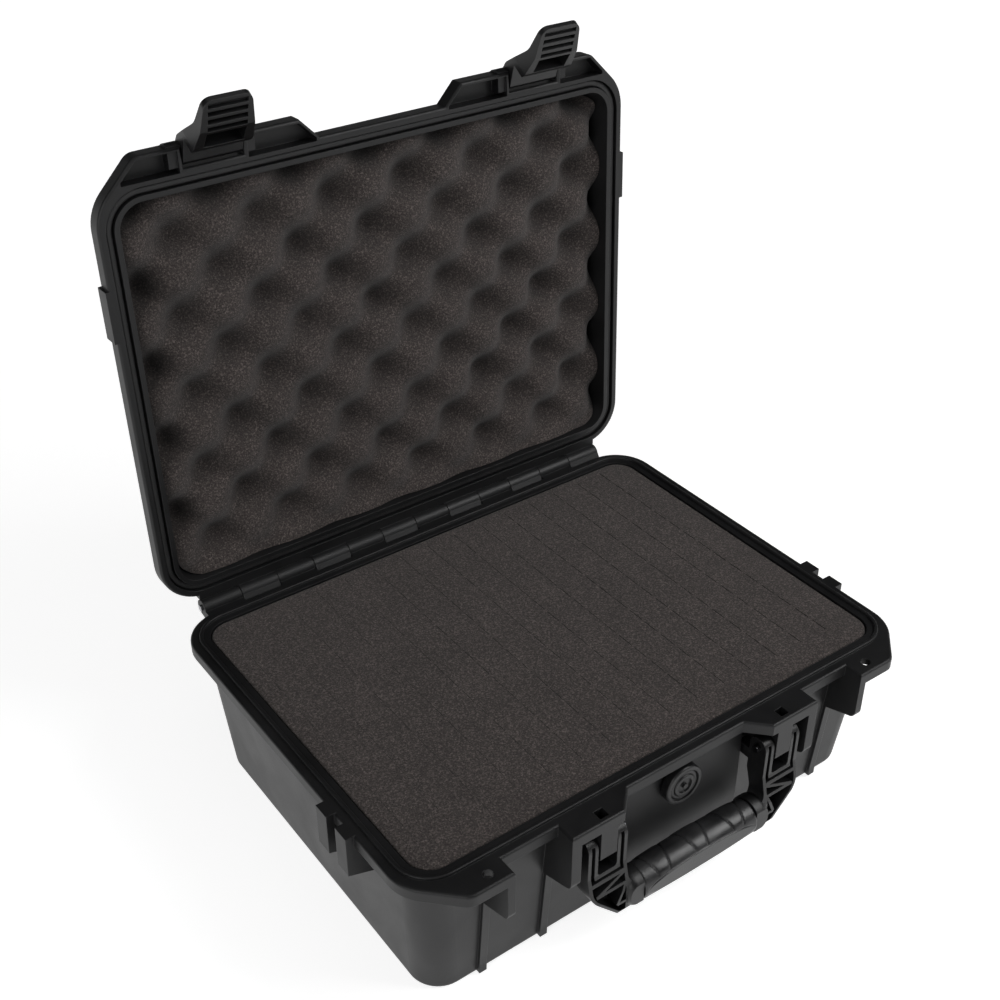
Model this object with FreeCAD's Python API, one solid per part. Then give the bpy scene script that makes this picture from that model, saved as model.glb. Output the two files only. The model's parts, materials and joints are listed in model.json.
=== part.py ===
import FreeCAD, Part
import math
import os
from FreeCAD import Vector

# A hard carrying case with a hinged lid, two latches and a folding handle, standing open.
# Millimetres. +Z is up, +X is the case's right and -Y its front. The origin is the middle of the underside.
# The lid and its latches are drawn closed and then turned to the open pose in which the case stands.

# Sealing line, heights and draft of the two shells
SEAL_LENGTH = 319.0  # ridge crest to ridge crest along X
SEAL_WIDTH = 235.0  # ridge crest to ridge crest along Y
SEAL_CORNER = 19.0
BASE_HEIGHT = 96.0  # underside to parting plane
LID_HEIGHT = 46.0  # lid rim to lid top
CLOSING_GAP = 0.3  # between the closed lid and the base
WALL = 3.5
FLOOR = 4.0
ROOF = 3.5
SIDE_DRAFT = 8.0
FRONT_DRAFT = 8.0
BACK_DRAFT = 3.5
LID_DRAFT = 8.0
BASE_EDGE_RADIUS = 4.0
LID_EDGE_RADIUS = 8.0
THROAT_INSET = 5.0  # sealing line to the inside of the wall

# Flange, ridge and gasket
FLANGE_REACH = 6.2  # sealing line to the flange's edge
FLANGE_PLATE = 4.0
FLANGE_ROUNDING = 1.5
SKIRT_DROP = 7.0
SKIRT_WALL = 3.0
LID_FLANGE = 10.0
RIDGE_WIDTH = 2.2
RIDGE_HEIGHT = 1.5
GROOVE_WIDTH = 4.4
GROOVE_DEPTH = 5.0
GASKET_SIDE_GAP = 0.2
GASKET_THICKNESS = 3.4

# Front bosses, lugs and pockets, laid out from the ends of the flange towards the middle
BOSS_REACH = 11.3  # beyond the narrow flange
BOSS_BEVEL = 11.0
BOSS_END_INSET = 3.0  # arm's inner face to the boss's inner end
TONGUE_WIDTH = 10.5
TONGUE_DROP = 27.0
TONGUE_ROUNDING = 2.0
FORK_CLEARANCE = 0.9
PRONG_WIDTH = 6.2
ARM_SIDE_GAP = 5.0
CHEEK_THICKNESS = 6.0
CHEEK_DROP = 35.0
CHEEK_SLOPE = 9.0
CHEEK_ROUNDING = 5.0
GUSSET_THICKNESS = 4.5
GUSSET_DROP = 30.0
LUG_LENGTH = 49.0  # flange's end to the latch pocket
LUG_CHAMFER = 24.0
LUG_FRONT_ROUNDING = 8.0
LUG_SIDE_ROUNDING = 26.0
LUG_HOLE_RADIUS = 2.8
LUG_HOLE_INSET = 6.3  # gusset's outer face to the hole's axis
LUG_HOLE_REACH = 4.2  # narrow flange's edge to the hole's axis
SOCKET_SIDE = 5.5
SOCKET_OFFSET = 1.5  # tongue's middle to the socket's
SOCKET_DEPTH = 12.0
FRONT_RIB_PROUD = 2.0
FRONT_RIB_FOOT = 2.0  # above the underside
FRONT_RIB_WIDTH = 4.5
FRONT_RIB_TOE = 2.4
FRONT_RIB_TOE_HEIGHT = 6.0
PLATEAU_PROUD = 2.0
PLATEAU_SIDE_GAP = 1.5
PLATEAU_FOOT = 25.0
PLATEAU_ROUNDING = 12.0

# Side tabs
TAB_CENTRE = -57.2
TAB_LENGTH = 10.0
TAB_GAP = 8.2
TAB_REACH = 4.5  # beyond the flange
TAB_DROP = 25.0
TAB_SLOPE = 8.0
LID_TAB_REACH = 1.6
LID_TAB_RISE = 12.0

# Hinge
HINGE_SETBACK = 7.2  # flange edge to hinge axis
KNUCKLE_RADIUS = 5.0
KNUCKLE_COUNT = 12
HINGE_END_INSET = 20.0  # flange's end to the hinge's
KNUCKLE_GAP = 0.4
HINGE_PIN_RADIUS = 1.95
PIN_CLEARANCE = 0.05
PIN_STICKOUT = 1.0
LID_OPEN_ANGLE = 92.4
STOP_GAP = 0.2  # between the lid's heels and the base's skirt
LEDGE_GAP = 0.4  # between the lid's rear ledge and the base's barrels
STOP_LOW = 6.0  # heel's foot and head, below the hinge axis
STOP_HIGH = 2.0
STOP_SHOULDER = 3.5

# Latches
LATCH_WIDTH = 32.5
LATCH_CLEARANCE = 0.5
LATCH_EYE_RADIUS = 5.5
LATCH_EYE_GAP = 0.7
LATCH_PIN_RADIUS = 2.0
LATCH_PIN_RISE = 5.0  # above the lid's rim
LATCH_OPEN_ANGLE = 53.0
LATCH_HOOK_GAP = 0.4
LATCH_HOOK_DEPTH = 3.6  # behind the flange's edge
LATCH_HOOK_HEIGHT = 3.4
LATCH_THROAT = 1.0  # pin's axis to the inner face above the hook
LATCH_FLARE = 4.5  # above the hook, where the outer face turns in towards the tab
LATCH_RIM_DEPTH = 4.8  # side rims' reach behind the flange's edge
LATCH_RIM_RISE = 16.0  # tip to the deepest part of the side rims
LATCH_TAB_DEPTH = 7.0
LATCH_REACH = 44.0  # pin to the finger tab's tip
LATCH_TIP_SETBACK = 5.5
LATCH_TIP_THICKNESS = 2.6
LATCH_TAB_WIDTH = 25.6
LATCH_TAB_ROUNDING = 5.0
LATCH_BEND_RADIUS = 10.0
LATCH_PANEL_RIM = 2.0
LATCH_PANEL_DEPTH = 0.8
LATCH_PLATE = 2.2
LATCH_RIB_COUNT = 4
LATCH_RIB_PITCH = 4.0
LATCH_RIB_WIDTH = 1.6
EAR_WALL = 2.2
EAR_BOSS_RADIUS = 6.6
EAR_BOSS_LENGTH = 7.0
EAR_BOSS_SINK = 1.5  # below the lid's rim
WING_WALL = 2.0
WING_DEPTH = 8.0
WING_ROOT = 1.8  # pocket's reach behind the narrow flange's edge

# Handle
HANDLE_PIN_DROP = 18.5  # below the parting plane
HANDLE_PIN_SETBACK = 6.5  # behind the bosses' front
HANDLE_PIN_RADIUS = 2.2
HANDLE_PIN_STICKOUT = 2.5
EYE_RADIUS = 6.0
PRONG_WEB = 1.0  # between the handle pin and the groove in the prong's front
FORK_DEPTH = 18.0  # handle pin to the slot's floor
FORK_ROUNDING = 2.0
SHOULDER_DROP = 30.5
BAR_DROP = 41.0  # handle pin to the bar's axis
BAR_OUTSET = 4.5
BAR_HEIGHT = 12.0
BAR_DEPTH = 11.0
BAR_ROUNDING = 3.0
ARM_FOOT_DROP = 51.5
ARM_FOOT_LENGTH = 5.5  # arm's inner face to the foot's outer corner
ARM_SHOULDER_ROUNDING = 12.0
ARM_FOOT_ROUNDING = 8.0
ARM_FOOT_SWEEP = 4.0  # foot's reach under the collar
ARM_SWEEP = 8.0
ARM_BAR_BEVEL = 6.0
ARM_RIM = 2.0
ARM_GROOVE = 2.0
ARM_WEB = 1.6
ARM_BACK = 2.5
HEEL_GAP = 0.3
HEEL_TOP = 5.0
HEEL_HEIGHT = 7.0
GRIP_RADIUS = 10.8
GRIP_FLAT = 8.0  # bar's axis to the flat on the grip's front
GRIP_END_GAP = 0.3
GRIP_RIDGES = 3
GRIP_RIDGE_SHARE = 0.4  # of the pitch
GRIP_GROOVE_DEPTH = 0.8
GRIP_GROOVE_WIDTH = 1.6
COLLAR_LENGTH = 8.0
COLLAR_DROP = 0.4  # below the grip's surface
COLLAR_ROUNDING = 6.0

# Pressure valve
VALVE_DROP = 22.0  # parting plane to the valve's axis
VALVE_RADIUS = 12.0
VALVE_FLANGE = 4.5
VALVE_RIM = 1.2
VALVE_SHANK_RADIUS = 6.0
VALVE_BORE_RADIUS = 2.5
VALVE_SEAL_THICKNESS = 1.0
VALVE_SEAL_RADIUS = 9.5
KNOB_RADIUS = 7.0
KNOB_HEIGHT = 3.2
KNOB_RECESS = 2.4
KNOB_DISH_RADIUS = 4.6
KNOB_DISH_DEPTH = 1.0
KNOB_NUB_RADIUS = 1.6
KNOB_ROUNDING = 1.0
NUT_FLATS = 16.0
NUT_THICKNESS = 4.0
SPOT_MARGIN = 1.0
VENT_DISC_RADIUS = 4.0
VENT_DISC_THICKNESS = 1.0
VALVE_FIT = 0.05

# Foam
FOAM_GAP = 0.5
FOAM_TOP_DROP = 0.6
FOAM_PAD_THICKNESS = 12.0
FOAM_RELIEF = 2.0
LID_FOAM_GAP = 0.5
LID_FOAM_RISE = 2.0  # crests above the lid's rim
CRATE_STEP_X = 23.8
CRATE_STEP_Y = 22.9
CRATE_DEPTH = 13.0
CRATE_DIMPLE_RADIUS = 16.0
CRATE_SHIFT_X = -6.4
CRATE_SHIFT_Y = -19.8

# Places worked out from the sizes above
half_length = SEAL_LENGTH / 2
half_width = SEAL_WIDTH / 2
throat_x = half_length - THROAT_INSET
throat_y = half_width - THROAT_INSET
throat_corner = SEAL_CORNER - THROAT_INSET
flange_x = half_length + FLANGE_REACH
flange_y = half_width + FLANGE_REACH
flange_corner = SEAL_CORNER + FLANGE_REACH
front = -flange_y
boss_front = front - BOSS_REACH
plate_low = BASE_HEIGHT - FLANGE_PLATE
skirt_low = BASE_HEIGHT - SKIRT_DROP
lid_rim = BASE_HEIGHT + CLOSING_GAP
lid_flange_top = lid_rim + LID_FLANGE
lid_top = lid_rim + LID_HEIGHT
lug_in = flange_x - LUG_LENGTH
gusset_out = lug_in + GUSSET_THICKNESS
latch_x = lug_in - LATCH_CLEARANCE - LATCH_WIDTH / 2
cheek_out = lug_in - LATCH_WIDTH - 2 * LATCH_CLEARANCE
cheek_in = cheek_out - CHEEK_THICKNESS
arm_out = cheek_in - ARM_SIDE_GAP
slot_out = arm_out - PRONG_WIDTH
slot_in = slot_out - TONGUE_WIDTH - 2 * FORK_CLEARANCE
arm_in = slot_in - PRONG_WIDTH
fork_centre = (slot_in + slot_out) / 2
boss_in = arm_in + BOSS_END_INSET
hinge_y = flange_y + HINGE_SETBACK
hinge_z = BASE_HEIGHT
hinge_length = 2 * (flange_x - HINGE_END_INSET)
knuckle_pitch = hinge_length / KNUCKLE_COUNT
latch_pin_y = front - LATCH_EYE_GAP - LATCH_EYE_RADIUS
latch_pin_z = lid_rim + LATCH_PIN_RISE
handle_pin_y = boss_front + HANDLE_PIN_SETBACK
handle_pin_z = BASE_HEIGHT - HANDLE_PIN_DROP
bar_y = handle_pin_y - BAR_OUTSET
bar_z = handle_pin_z - BAR_DROP
plateau_y = -(throat_y + WALL + PLATEAU_PROUD)
valve_z = BASE_HEIGHT - VALVE_DROP
nut_radius = NUT_FLATS / math.sqrt(3)
spot_radius = nut_radius + SPOT_MARGIN

AXES = {"xy": (0, 1, 2), "xz": (0, 2, 1), "yz": (1, 2, 0)}
RIGHT = Vector(1, 0, 0)
BACKWARD = Vector(0, 1, 0)


def place(plane, u, v, level):
    """Point (u, v) of a plane that lies at a level along its normal."""
    coordinates = [0.0, 0.0, 0.0]
    for axis, value in zip(AXES[plane], (u, v, level)):
        coordinates[axis] = value
    return Vector(*coordinates)


def outline(plane, corners, level):
    """Closed wire through (u, v) corners, where a third value rounds the corner by that radius."""
    spots = [place(plane, corner[0], corner[1], level) for corner in corners]
    turns = []
    for i, spot in enumerate(spots):
        if len(corners[i]) == 2:
            turns.append((spot, None, spot))
            continue
        radius = corners[i][2]
        before = (spots[i - 1] - spot).normalize()
        after = (spots[(i + 1) % len(spots)] - spot).normalize()
        half_angle = before.getAngle(after) / 2
        run = radius / math.tan(half_angle)
        crown = spot + (before + after).normalize() * (radius / math.sin(half_angle) - radius)
        turns.append((spot + before * run, crown, spot + after * run))
    edges = []
    for i, (start, crown, end) in enumerate(turns):
        if crown is not None:
            edges.append(Part.Arc(start, crown, end).toShape())
        following = turns[(i + 1) % len(turns)][0]
        if (following - end).Length > 1e-6:
            edges.append(Part.makeLine(end, following))
    return Part.Wire(edges)


def prism(plane, corners, start, end):
    """Straight solid over an outline, from one level of its plane to another."""
    return Part.Face(outline(plane, corners, start)).extrude(place(plane, 0, 0, end - start))


def rectangle(x_low, x_high, y_low, y_high, radius):
    """Corners of a rounded rectangle."""
    ends = [(x_low, y_low), (x_high, y_low), (x_high, y_high), (x_low, y_high)]
    return [(x, y, radius) for x, y in ends]


def block(x_low, x_high, y_low, y_high, z_low, z_high):
    size = (x_high - x_low, y_high - y_low, z_high - z_low)
    return Part.makeBox(*size, Vector(x_low, y_low, z_low))


def rod(radius, x_low, x_high, y, z):
    """Cylinder along X."""
    return Part.makeCylinder(radius, x_high - x_low, Vector(x_low, y, z), RIGHT)


def disc(radius, y_low, y_high, x, z):
    """Cylinder along Y."""
    return Part.makeCylinder(radius, y_high - y_low, Vector(x, y_low, z), BACKWARD)


def mirrored(shape):
    return shape.mirror(Vector(0, 0, 0), RIGHT)


def both_sides(shapes):
    """The shapes and their mirror images on the other side of the case."""
    return shapes + [mirrored(shape) for shape in shapes]


def fused(shapes):
    return shapes[0].multiFuse(shapes[1:]).removeSplitter()


def turned(shape, y, z, degrees):
    """Shape turned about the line along X through (y, z)."""
    return shape.rotated(Vector(0, y, z), RIGHT, degrees)


def level_edges(shape, z):
    """Edges that lie flat at height z."""
    return [e for e in shape.Edges if abs(e.BoundBox.ZMin - z) < 1e-6 and abs(e.BoundBox.ZMax - z) < 1e-6]


def seal_ring(width, z_low, z_high):
    """Ring of the given width, centred on the sealing line."""
    rings = []
    for side in (1, -1):
        x = half_length + side * width / 2
        y = half_width + side * width / 2
        corners = rectangle(-x, x, -y, y, SEAL_CORNER + side * width / 2)
        rings.append(prism("xy", corners, z_low, z_high))
    return rings[0].cut(rings[1])


def base_section(z, inset):
    """Outline of the base's tub at height z, drawn in from its outside by inset."""
    short = 1 - z / BASE_HEIGHT
    x = throat_x + WALL - SIDE_DRAFT * short - inset
    y_front = -(throat_y + WALL) + FRONT_DRAFT * short + inset
    y_back = throat_y + WALL - BACK_DRAFT * short - inset
    return outline("xy", rectangle(-x, x, y_front, y_back, throat_corner + WALL - inset), z)


def lid_section(z, inset):
    """Outline of the closed lid's tub at height z, drawn in from its outside by inset."""
    rise = (z - lid_rim) / LID_HEIGHT
    x = throat_x + WALL - LID_DRAFT * rise - inset
    y = throat_y + WALL - LID_DRAFT * rise - inset
    return outline("xy", rectangle(-x, x, -y, y, throat_corner + WALL - inset), z)


def front_wall(z):
    """Y of the base tub's outer front face at height z."""
    return -(throat_y + WALL) + FRONT_DRAFT * (1 - z / BASE_HEIGHT)


def lug_corners():
    """Plan of the lug at the right front corner."""
    y_rear = front + flange_corner
    return [
        (lug_in, y_rear),
        (lug_in, boss_front),
        (flange_x - LUG_CHAMFER, boss_front, LUG_FRONT_ROUNDING),
        (flange_x, boss_front + LUG_CHAMFER, LUG_SIDE_ROUNDING),
        (flange_x, y_rear),
    ]


def boss_corners():
    """Plan of the right handle boss, bevelled on the side towards the middle."""
    y_rear = front + FLANGE_REACH / 2
    return [
        (boss_in - BOSS_BEVEL, y_rear),
        (boss_in - BOSS_BEVEL, front),
        (boss_in, boss_front),
        (cheek_out, boss_front),
        (cheek_out, y_rear),
    ]


def flange_plan(z_low, z_high):
    """Slab with the flange's whole plan: rim, lugs and bosses."""
    rim = prism("xy", rectangle(-flange_x, flange_x, -flange_y, flange_y, flange_corner), z_low, z_high)
    growths = [prism("xy", corners, z_low, z_high) for corners in (lug_corners(), boss_corners())]
    return fused([rim] + both_sides(growths))


def base_flange():
    """Flange plate with a skirt hanging from its edge."""
    slab = flange_plan(skirt_low, BASE_HEIGHT)
    underside = min(slab.Faces, key=lambda face: face.CenterOfMass.z)
    hollow = Part.Face(underside.OuterWire.makeOffset2D(-SKIRT_WALL))
    slab = slab.makeFillet(FLANGE_ROUNDING, level_edges(slab, BASE_HEIGHT))
    return slab.cut(hollow.extrude(Vector(0, 0, plate_low - skirt_low)))


def front_webs():
    """Cheeks, gussets, tongues and low ribs that stand on the right half of the front wall."""
    y_in = front_wall(0)
    webs = []
    for x_low, x_high, drop in ((cheek_in, cheek_out, CHEEK_DROP), (lug_in, gusset_out, GUSSET_DROP)):
        z_low = BASE_HEIGHT - drop
        side = [
            (boss_front, plate_low),
            (boss_front, z_low, CHEEK_ROUNDING),
            (y_in, z_low - CHEEK_SLOPE),
            (y_in, plate_low),
        ]
        webs.append(prism("yz", side, x_low, x_high))
        middle = (x_low + x_high) / 2
        toe_top = FRONT_RIB_FOOT + FRONT_RIB_TOE_HEIGHT
        rib = [
            (front_wall(z_low) - FRONT_RIB_PROUD, z_low),
            (front_wall(toe_top) - FRONT_RIB_PROUD, toe_top),
            (front_wall(FRONT_RIB_FOOT) - FRONT_RIB_TOE, FRONT_RIB_FOOT),
            (y_in + BASE_EDGE_RADIUS, FRONT_RIB_FOOT),
            (y_in + BASE_EDGE_RADIUS, z_low),
        ]
        webs.append(prism("yz", rib, middle - FRONT_RIB_WIDTH / 2, middle + FRONT_RIB_WIDTH / 2))
    tongue_low = BASE_HEIGHT - TONGUE_DROP
    tongue = [
        (boss_front, plate_low),
        (boss_front, tongue_low, TONGUE_ROUNDING),
        (y_in, tongue_low),
        (y_in, plate_low),
    ]
    webs.append(prism("yz", tongue, fork_centre - TONGUE_WIDTH / 2, fork_centre + TONGUE_WIDTH / 2))
    return webs


def plateau():
    """Raised middle of the front wall, on which the valve sits."""
    x = arm_in - PLATEAU_SIDE_GAP
    corners = [
        (-x, plate_low),
        (-x, PLATEAU_FOOT, PLATEAU_ROUNDING),
        (x, PLATEAU_FOOT, PLATEAU_ROUNDING),
        (x, plate_low),
    ]
    return prism("xz", corners, plateau_y, front_wall(0))


def tab_ends():
    """Y ranges of the two tabs on each side of the base."""
    near = TAB_CENTRE - TAB_GAP / 2
    far = TAB_CENTRE + TAB_GAP / 2
    return [(near - TAB_LENGTH, near), (far, far + TAB_LENGTH)]


def base_tabs():
    """Gusset tabs under the flange on the right side."""
    x_in = throat_x - SIDE_DRAFT
    x_out = flange_x + TAB_REACH
    z_low = BASE_HEIGHT - TAB_DROP
    side = [(x_in, BASE_HEIGHT), (x_out, BASE_HEIGHT), (x_out, z_low), (x_in, z_low - TAB_SLOPE)]
    return [prism("xz", side, y_low, y_high) for y_low, y_high in tab_ends()]


def knuckle_ends(first):
    """X ranges of every second hinge knuckle, from the given one on."""
    starts = [-hinge_length / 2 + i * knuckle_pitch for i in range(first, KNUCKLE_COUNT, 2)]
    return [(x + KNUCKLE_GAP / 2, x + knuckle_pitch - KNUCKLE_GAP / 2) for x in starts]


def base_knuckles():
    """Hinge barrels on webs behind the base's skirt."""
    root_y = flange_y - 2 * SKIRT_WALL
    web = [
        (root_y, BASE_HEIGHT),
        (root_y, skirt_low),
        (flange_y, skirt_low),
        (hinge_y, hinge_z - KNUCKLE_RADIUS),
        (hinge_y, BASE_HEIGHT),
    ]
    shapes = []
    for x_low, x_high in knuckle_ends(0):
        shapes.append(prism("yz", web, x_low, x_high))
        shapes.append(rod(KNUCKLE_RADIUS, x_low, x_high, hinge_y, hinge_z))
    return shapes


def hinge_bore():
    return rod(HINGE_PIN_RADIUS + PIN_CLEARANCE, -hinge_length / 2, hinge_length / 2, hinge_y, hinge_z)


def spot_face_y():
    """Y of the flat that the valve's nut bears on, inside the front wall."""
    return front_wall(valve_z + spot_radius) + WALL


def base_shell():
    tub = Part.makeLoft([base_section(0, 0), base_section(BASE_HEIGHT, 0)], True, True)
    tub = tub.makeFillet(BASE_EDGE_RADIUS, level_edges(tub, 0))
    growths = both_sides(front_webs() + base_tabs()) + base_knuckles()
    shell = fused([tub, base_flange(), plateau()] + growths)
    cavity = Part.makeLoft([base_section(FLOOR, WALL), base_section(BASE_HEIGHT, WALL)], True, True)
    ridge = seal_ring(RIDGE_WIDTH, BASE_HEIGHT, BASE_HEIGHT + RIDGE_HEIGHT)
    ridge = ridge.makeFillet(RIDGE_HEIGHT / 2, level_edges(ridge, BASE_HEIGHT + RIDGE_HEIGHT))
    shell = fused([shell.cut(cavity), ridge])
    socket_x = fork_centre + SOCKET_OFFSET
    socket_y = (front + boss_front) / 2
    half_side = SOCKET_SIDE / 2
    socket = block(
        socket_x - half_side,
        socket_x + half_side,
        socket_y - half_side,
        socket_y + half_side,
        BASE_HEIGHT - SOCKET_DEPTH,
        BASE_HEIGHT,
    )
    lug_hole = Part.makeCylinder(LUG_HOLE_RADIUS, FLANGE_PLATE, lug_hole_spot(plate_low))
    pin_bore = rod(HANDLE_PIN_RADIUS + PIN_CLEARANCE, slot_in, slot_out, handle_pin_y, handle_pin_z)
    valve_bore = disc(VALVE_SHANK_RADIUS + VALVE_FIT, plateau_y, -throat_y + FRONT_DRAFT, 0, valve_z)
    spot_face = disc(spot_radius, spot_face_y(), -throat_y + FRONT_DRAFT, 0, valve_z)
    cuts = both_sides([socket, lug_hole, pin_bore]) + [valve_bore, spot_face, hinge_bore()]
    for cut in cuts:
        shell = shell.cut(cut)
    return shell


def lug_hole_spot(z):
    """Axis of the hole in the right lug at height z."""
    return Vector(gusset_out + LUG_HOLE_INSET, front - LUG_HOLE_REACH, z)


def wing_pockets():
    """Hollows of the lid's wings over the right lug and boss, open downwards."""
    chamfer_line = flange_x - LUG_CHAMFER - boss_front - WING_WALL * math.sqrt(2)
    wing_inside = boss_front + WING_WALL
    wing_root = front + WING_ROOT
    lug_pocket = [
        (lug_in + EAR_WALL, wing_root),
        (lug_in + EAR_WALL, wing_inside),
        (chamfer_line + wing_inside, wing_inside),
        (chamfer_line + front, front),
        (chamfer_line + front, wing_root),
    ]
    boss_pocket = [
        (boss_in - BOSS_BEVEL + WING_WALL, wing_root),
        (boss_in - BOSS_BEVEL + WING_WALL, front),
        (boss_in, wing_inside),
        (cheek_out - EAR_WALL, wing_inside),
        (cheek_out - EAR_WALL, wing_root),
    ]
    return [prism("xy", corners, lid_rim, lid_rim + WING_DEPTH) for corners in (lug_pocket, boss_pocket)]


def ear_bosses():
    """Bosses that carry the right latch pin, one in each wing beside the latch."""
    reach = EAR_BOSS_RADIUS + BOSS_REACH
    z_low = lid_rim + EAR_BOSS_SINK
    below = block(0, flange_x, latch_pin_y - reach, latch_pin_y + reach, z_low - reach, z_low)
    bosses = [
        rod(EAR_BOSS_RADIUS, lug_in, lug_in + EAR_BOSS_LENGTH, latch_pin_y, latch_pin_z),
        rod(EAR_BOSS_RADIUS, cheek_out - EAR_BOSS_LENGTH, cheek_out, latch_pin_y, latch_pin_z),
    ]
    return [boss.cut(below) for boss in bosses]


def lid_tab():
    """Tab on the right side of the lid, over the base's two tabs."""
    x_in = throat_x - LID_DRAFT
    x_out = flange_x + LID_TAB_REACH
    side = [(x_in, lid_rim), (x_out, lid_rim), (x_out, lid_flange_top), (x_in, lid_rim + LID_TAB_RISE)]
    return prism("xz", side, tab_ends()[0][0], tab_ends()[1][1])


def lid_knuckles():
    """Rear ledge and hinge barrels of the lid, with heels that meet the base's skirt when the lid is open."""
    root_y = flange_y - 2 * SKIRT_WALL
    web = [
        (root_y, lid_rim),
        (hinge_y, lid_rim),
        (hinge_y, hinge_z + KNUCKLE_RADIUS),
        (flange_y, lid_flange_top),
        (root_y, lid_flange_top),
    ]
    stop_y = flange_y + STOP_GAP
    heel = [
        (stop_y, hinge_z - STOP_LOW),
        (stop_y, hinge_z - STOP_HIGH),
        (hinge_y - STOP_SHOULDER, hinge_z + STOP_SHOULDER),
        (hinge_y, hinge_z),
        (hinge_y, hinge_z - KNUCKLE_RADIUS),
    ]
    half_hinge = hinge_length / 2
    ledge_y = hinge_y - KNUCKLE_RADIUS - LEDGE_GAP
    shapes = [block(-half_hinge, half_hinge, root_y, ledge_y, lid_rim, lid_flange_top)]
    for x_low, x_high in knuckle_ends(1):
        shapes.append(prism("yz", web, x_low, x_high))
        shapes.append(rod(KNUCKLE_RADIUS, x_low, x_high, hinge_y, hinge_z))
        shapes.append(turned(prism("yz", heel, x_low, x_high), hinge_y, hinge_z, LID_OPEN_ANGLE))
    return shapes


def lid_shell():
    tub = Part.makeLoft([lid_section(lid_rim, 0), lid_section(lid_top, 0)], True, True)
    tub = tub.makeFillet(LID_EDGE_RADIUS, level_edges(tub, lid_top))
    flange = flange_plan(lid_rim, lid_flange_top)
    edges = level_edges(flange, lid_rim) + level_edges(flange, lid_flange_top)
    flange = flange.makeFillet(FLANGE_ROUNDING, edges)
    shell = fused([tub, flange] + both_sides([lid_tab()]) + lid_knuckles())
    for pocket in both_sides(wing_pockets()):
        shell = shell.cut(pocket)
    shell = fused([shell] + both_sides(ear_bosses()))
    cavity_top = lid_top - ROOF
    cavity = Part.makeLoft([lid_section(lid_rim, WALL), lid_section(cavity_top, WALL)], True, True)
    groove = seal_ring(GROOVE_WIDTH, lid_rim, lid_rim + GROOVE_DEPTH)
    ear_bore = rod(
        LATCH_PIN_RADIUS + PIN_CLEARANCE,
        cheek_out - EAR_BOSS_LENGTH,
        lug_in + EAR_BOSS_LENGTH,
        latch_pin_y,
        latch_pin_z,
    )
    cuts = [cavity, groove, hinge_bore()] + both_sides([ear_bore])
    for cut in cuts:
        shell = shell.cut(cut)
    return shell


def gasket():
    seat = lid_rim + GROOVE_DEPTH
    ring = seal_ring(GROOVE_WIDTH - 2 * GASKET_SIDE_GAP, seat - GASKET_THICKNESS, seat)
    return ring.makeFillet(GASKET_THICKNESS / 4, level_edges(ring, seat - GASKET_THICKNESS))


def hinge_pin():
    reach = hinge_length / 2 + PIN_STICKOUT
    return rod(HINGE_PIN_RADIUS, -reach, reach, hinge_y, hinge_z)


def latch():
    """Right latch, closed: an eye on the pin, a hook under the base's skirt and a rimmed finger tab."""
    y_out = latch_pin_y - LATCH_EYE_RADIUS
    y_in = latch_pin_y + LATCH_EYE_RADIUS
    eye_top = latch_pin_z + LATCH_EYE_RADIUS
    y_throat = latch_pin_y + LATCH_THROAT
    hook_y = front + LATCH_HOOK_DEPTH
    hook_top = skirt_low - LATCH_HOOK_GAP
    hook_low = hook_top - LATCH_HOOK_HEIGHT
    rim_y = front + LATCH_RIM_DEPTH
    tip_low = latch_pin_z - LATCH_REACH
    waist_z = tip_low + LATCH_RIM_RISE
    waist_y = rim_y - LATCH_TAB_DEPTH
    tip_in = rim_y - LATCH_TIP_SETBACK
    tip_out = tip_in - LATCH_TIP_THICKNESS
    side = [
        (y_out, eye_top, LATCH_EYE_RADIUS),
        (y_in, eye_top, LATCH_EYE_RADIUS),
        (y_in, latch_pin_z),
        (y_throat, hook_top),
        (hook_y, hook_top),
        (rim_y, hook_low),
        (rim_y, waist_z),
        (tip_in, tip_low),
        (tip_out, tip_low),
        (waist_y, waist_z, LATCH_BEND_RADIUS),
        (y_out, hook_top + LATCH_FLARE, LATCH_EYE_RADIUS),
    ]
    half = LATCH_WIDTH / 2
    half_tab = LATCH_TAB_WIDTH / 2
    body = prism("yz", side, latch_x - half, latch_x + half)
    face = [
        (latch_x - half, eye_top),
        (latch_x + half, eye_top),
        (latch_x + half, hook_low),
        (latch_x + half_tab, tip_low, LATCH_TAB_ROUNDING),
        (latch_x - half_tab, tip_low, LATCH_TAB_ROUNDING),
        (latch_x - half, hook_low),
    ]
    body = body.common(prism("xz", face, y_out, rim_y))
    panel_top = tip_low + LATCH_PANEL_RIM
    panel_side = [
        (y_throat, hook_low),
        (waist_y + LATCH_PLATE, waist_z),
        (tip_in - LATCH_PANEL_DEPTH, panel_top),
        (rim_y + LATCH_PLATE, panel_top),
        (rim_y + LATCH_PLATE, hook_low),
    ]
    half_panel = half_tab - LATCH_PANEL_RIM
    panel = prism("yz", panel_side, latch_x - half_panel, latch_x + half_panel)
    for i in range(LATCH_RIB_COUNT):
        rib_high = panel_top + (i + 1) * LATCH_RIB_PITCH
        rib_low = rib_high - LATCH_RIB_WIDTH
        slot = block(latch_x - half, latch_x + half, y_out, rim_y + LATCH_PLATE, rib_low, rib_high)
        panel = panel.cut(slot)
    bore = rod(LATCH_PIN_RADIUS + PIN_CLEARANCE, latch_x - half, latch_x + half, latch_pin_y, latch_pin_z)
    return turned(body.cut(panel).cut(bore), latch_pin_y, latch_pin_z, -LATCH_OPEN_ANGLE)


def latch_pin():
    return rod(
        LATCH_PIN_RADIUS,
        cheek_out - EAR_BOSS_LENGTH,
        lug_in + EAR_BOSS_LENGTH,
        latch_pin_y,
        latch_pin_z,
    )


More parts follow.
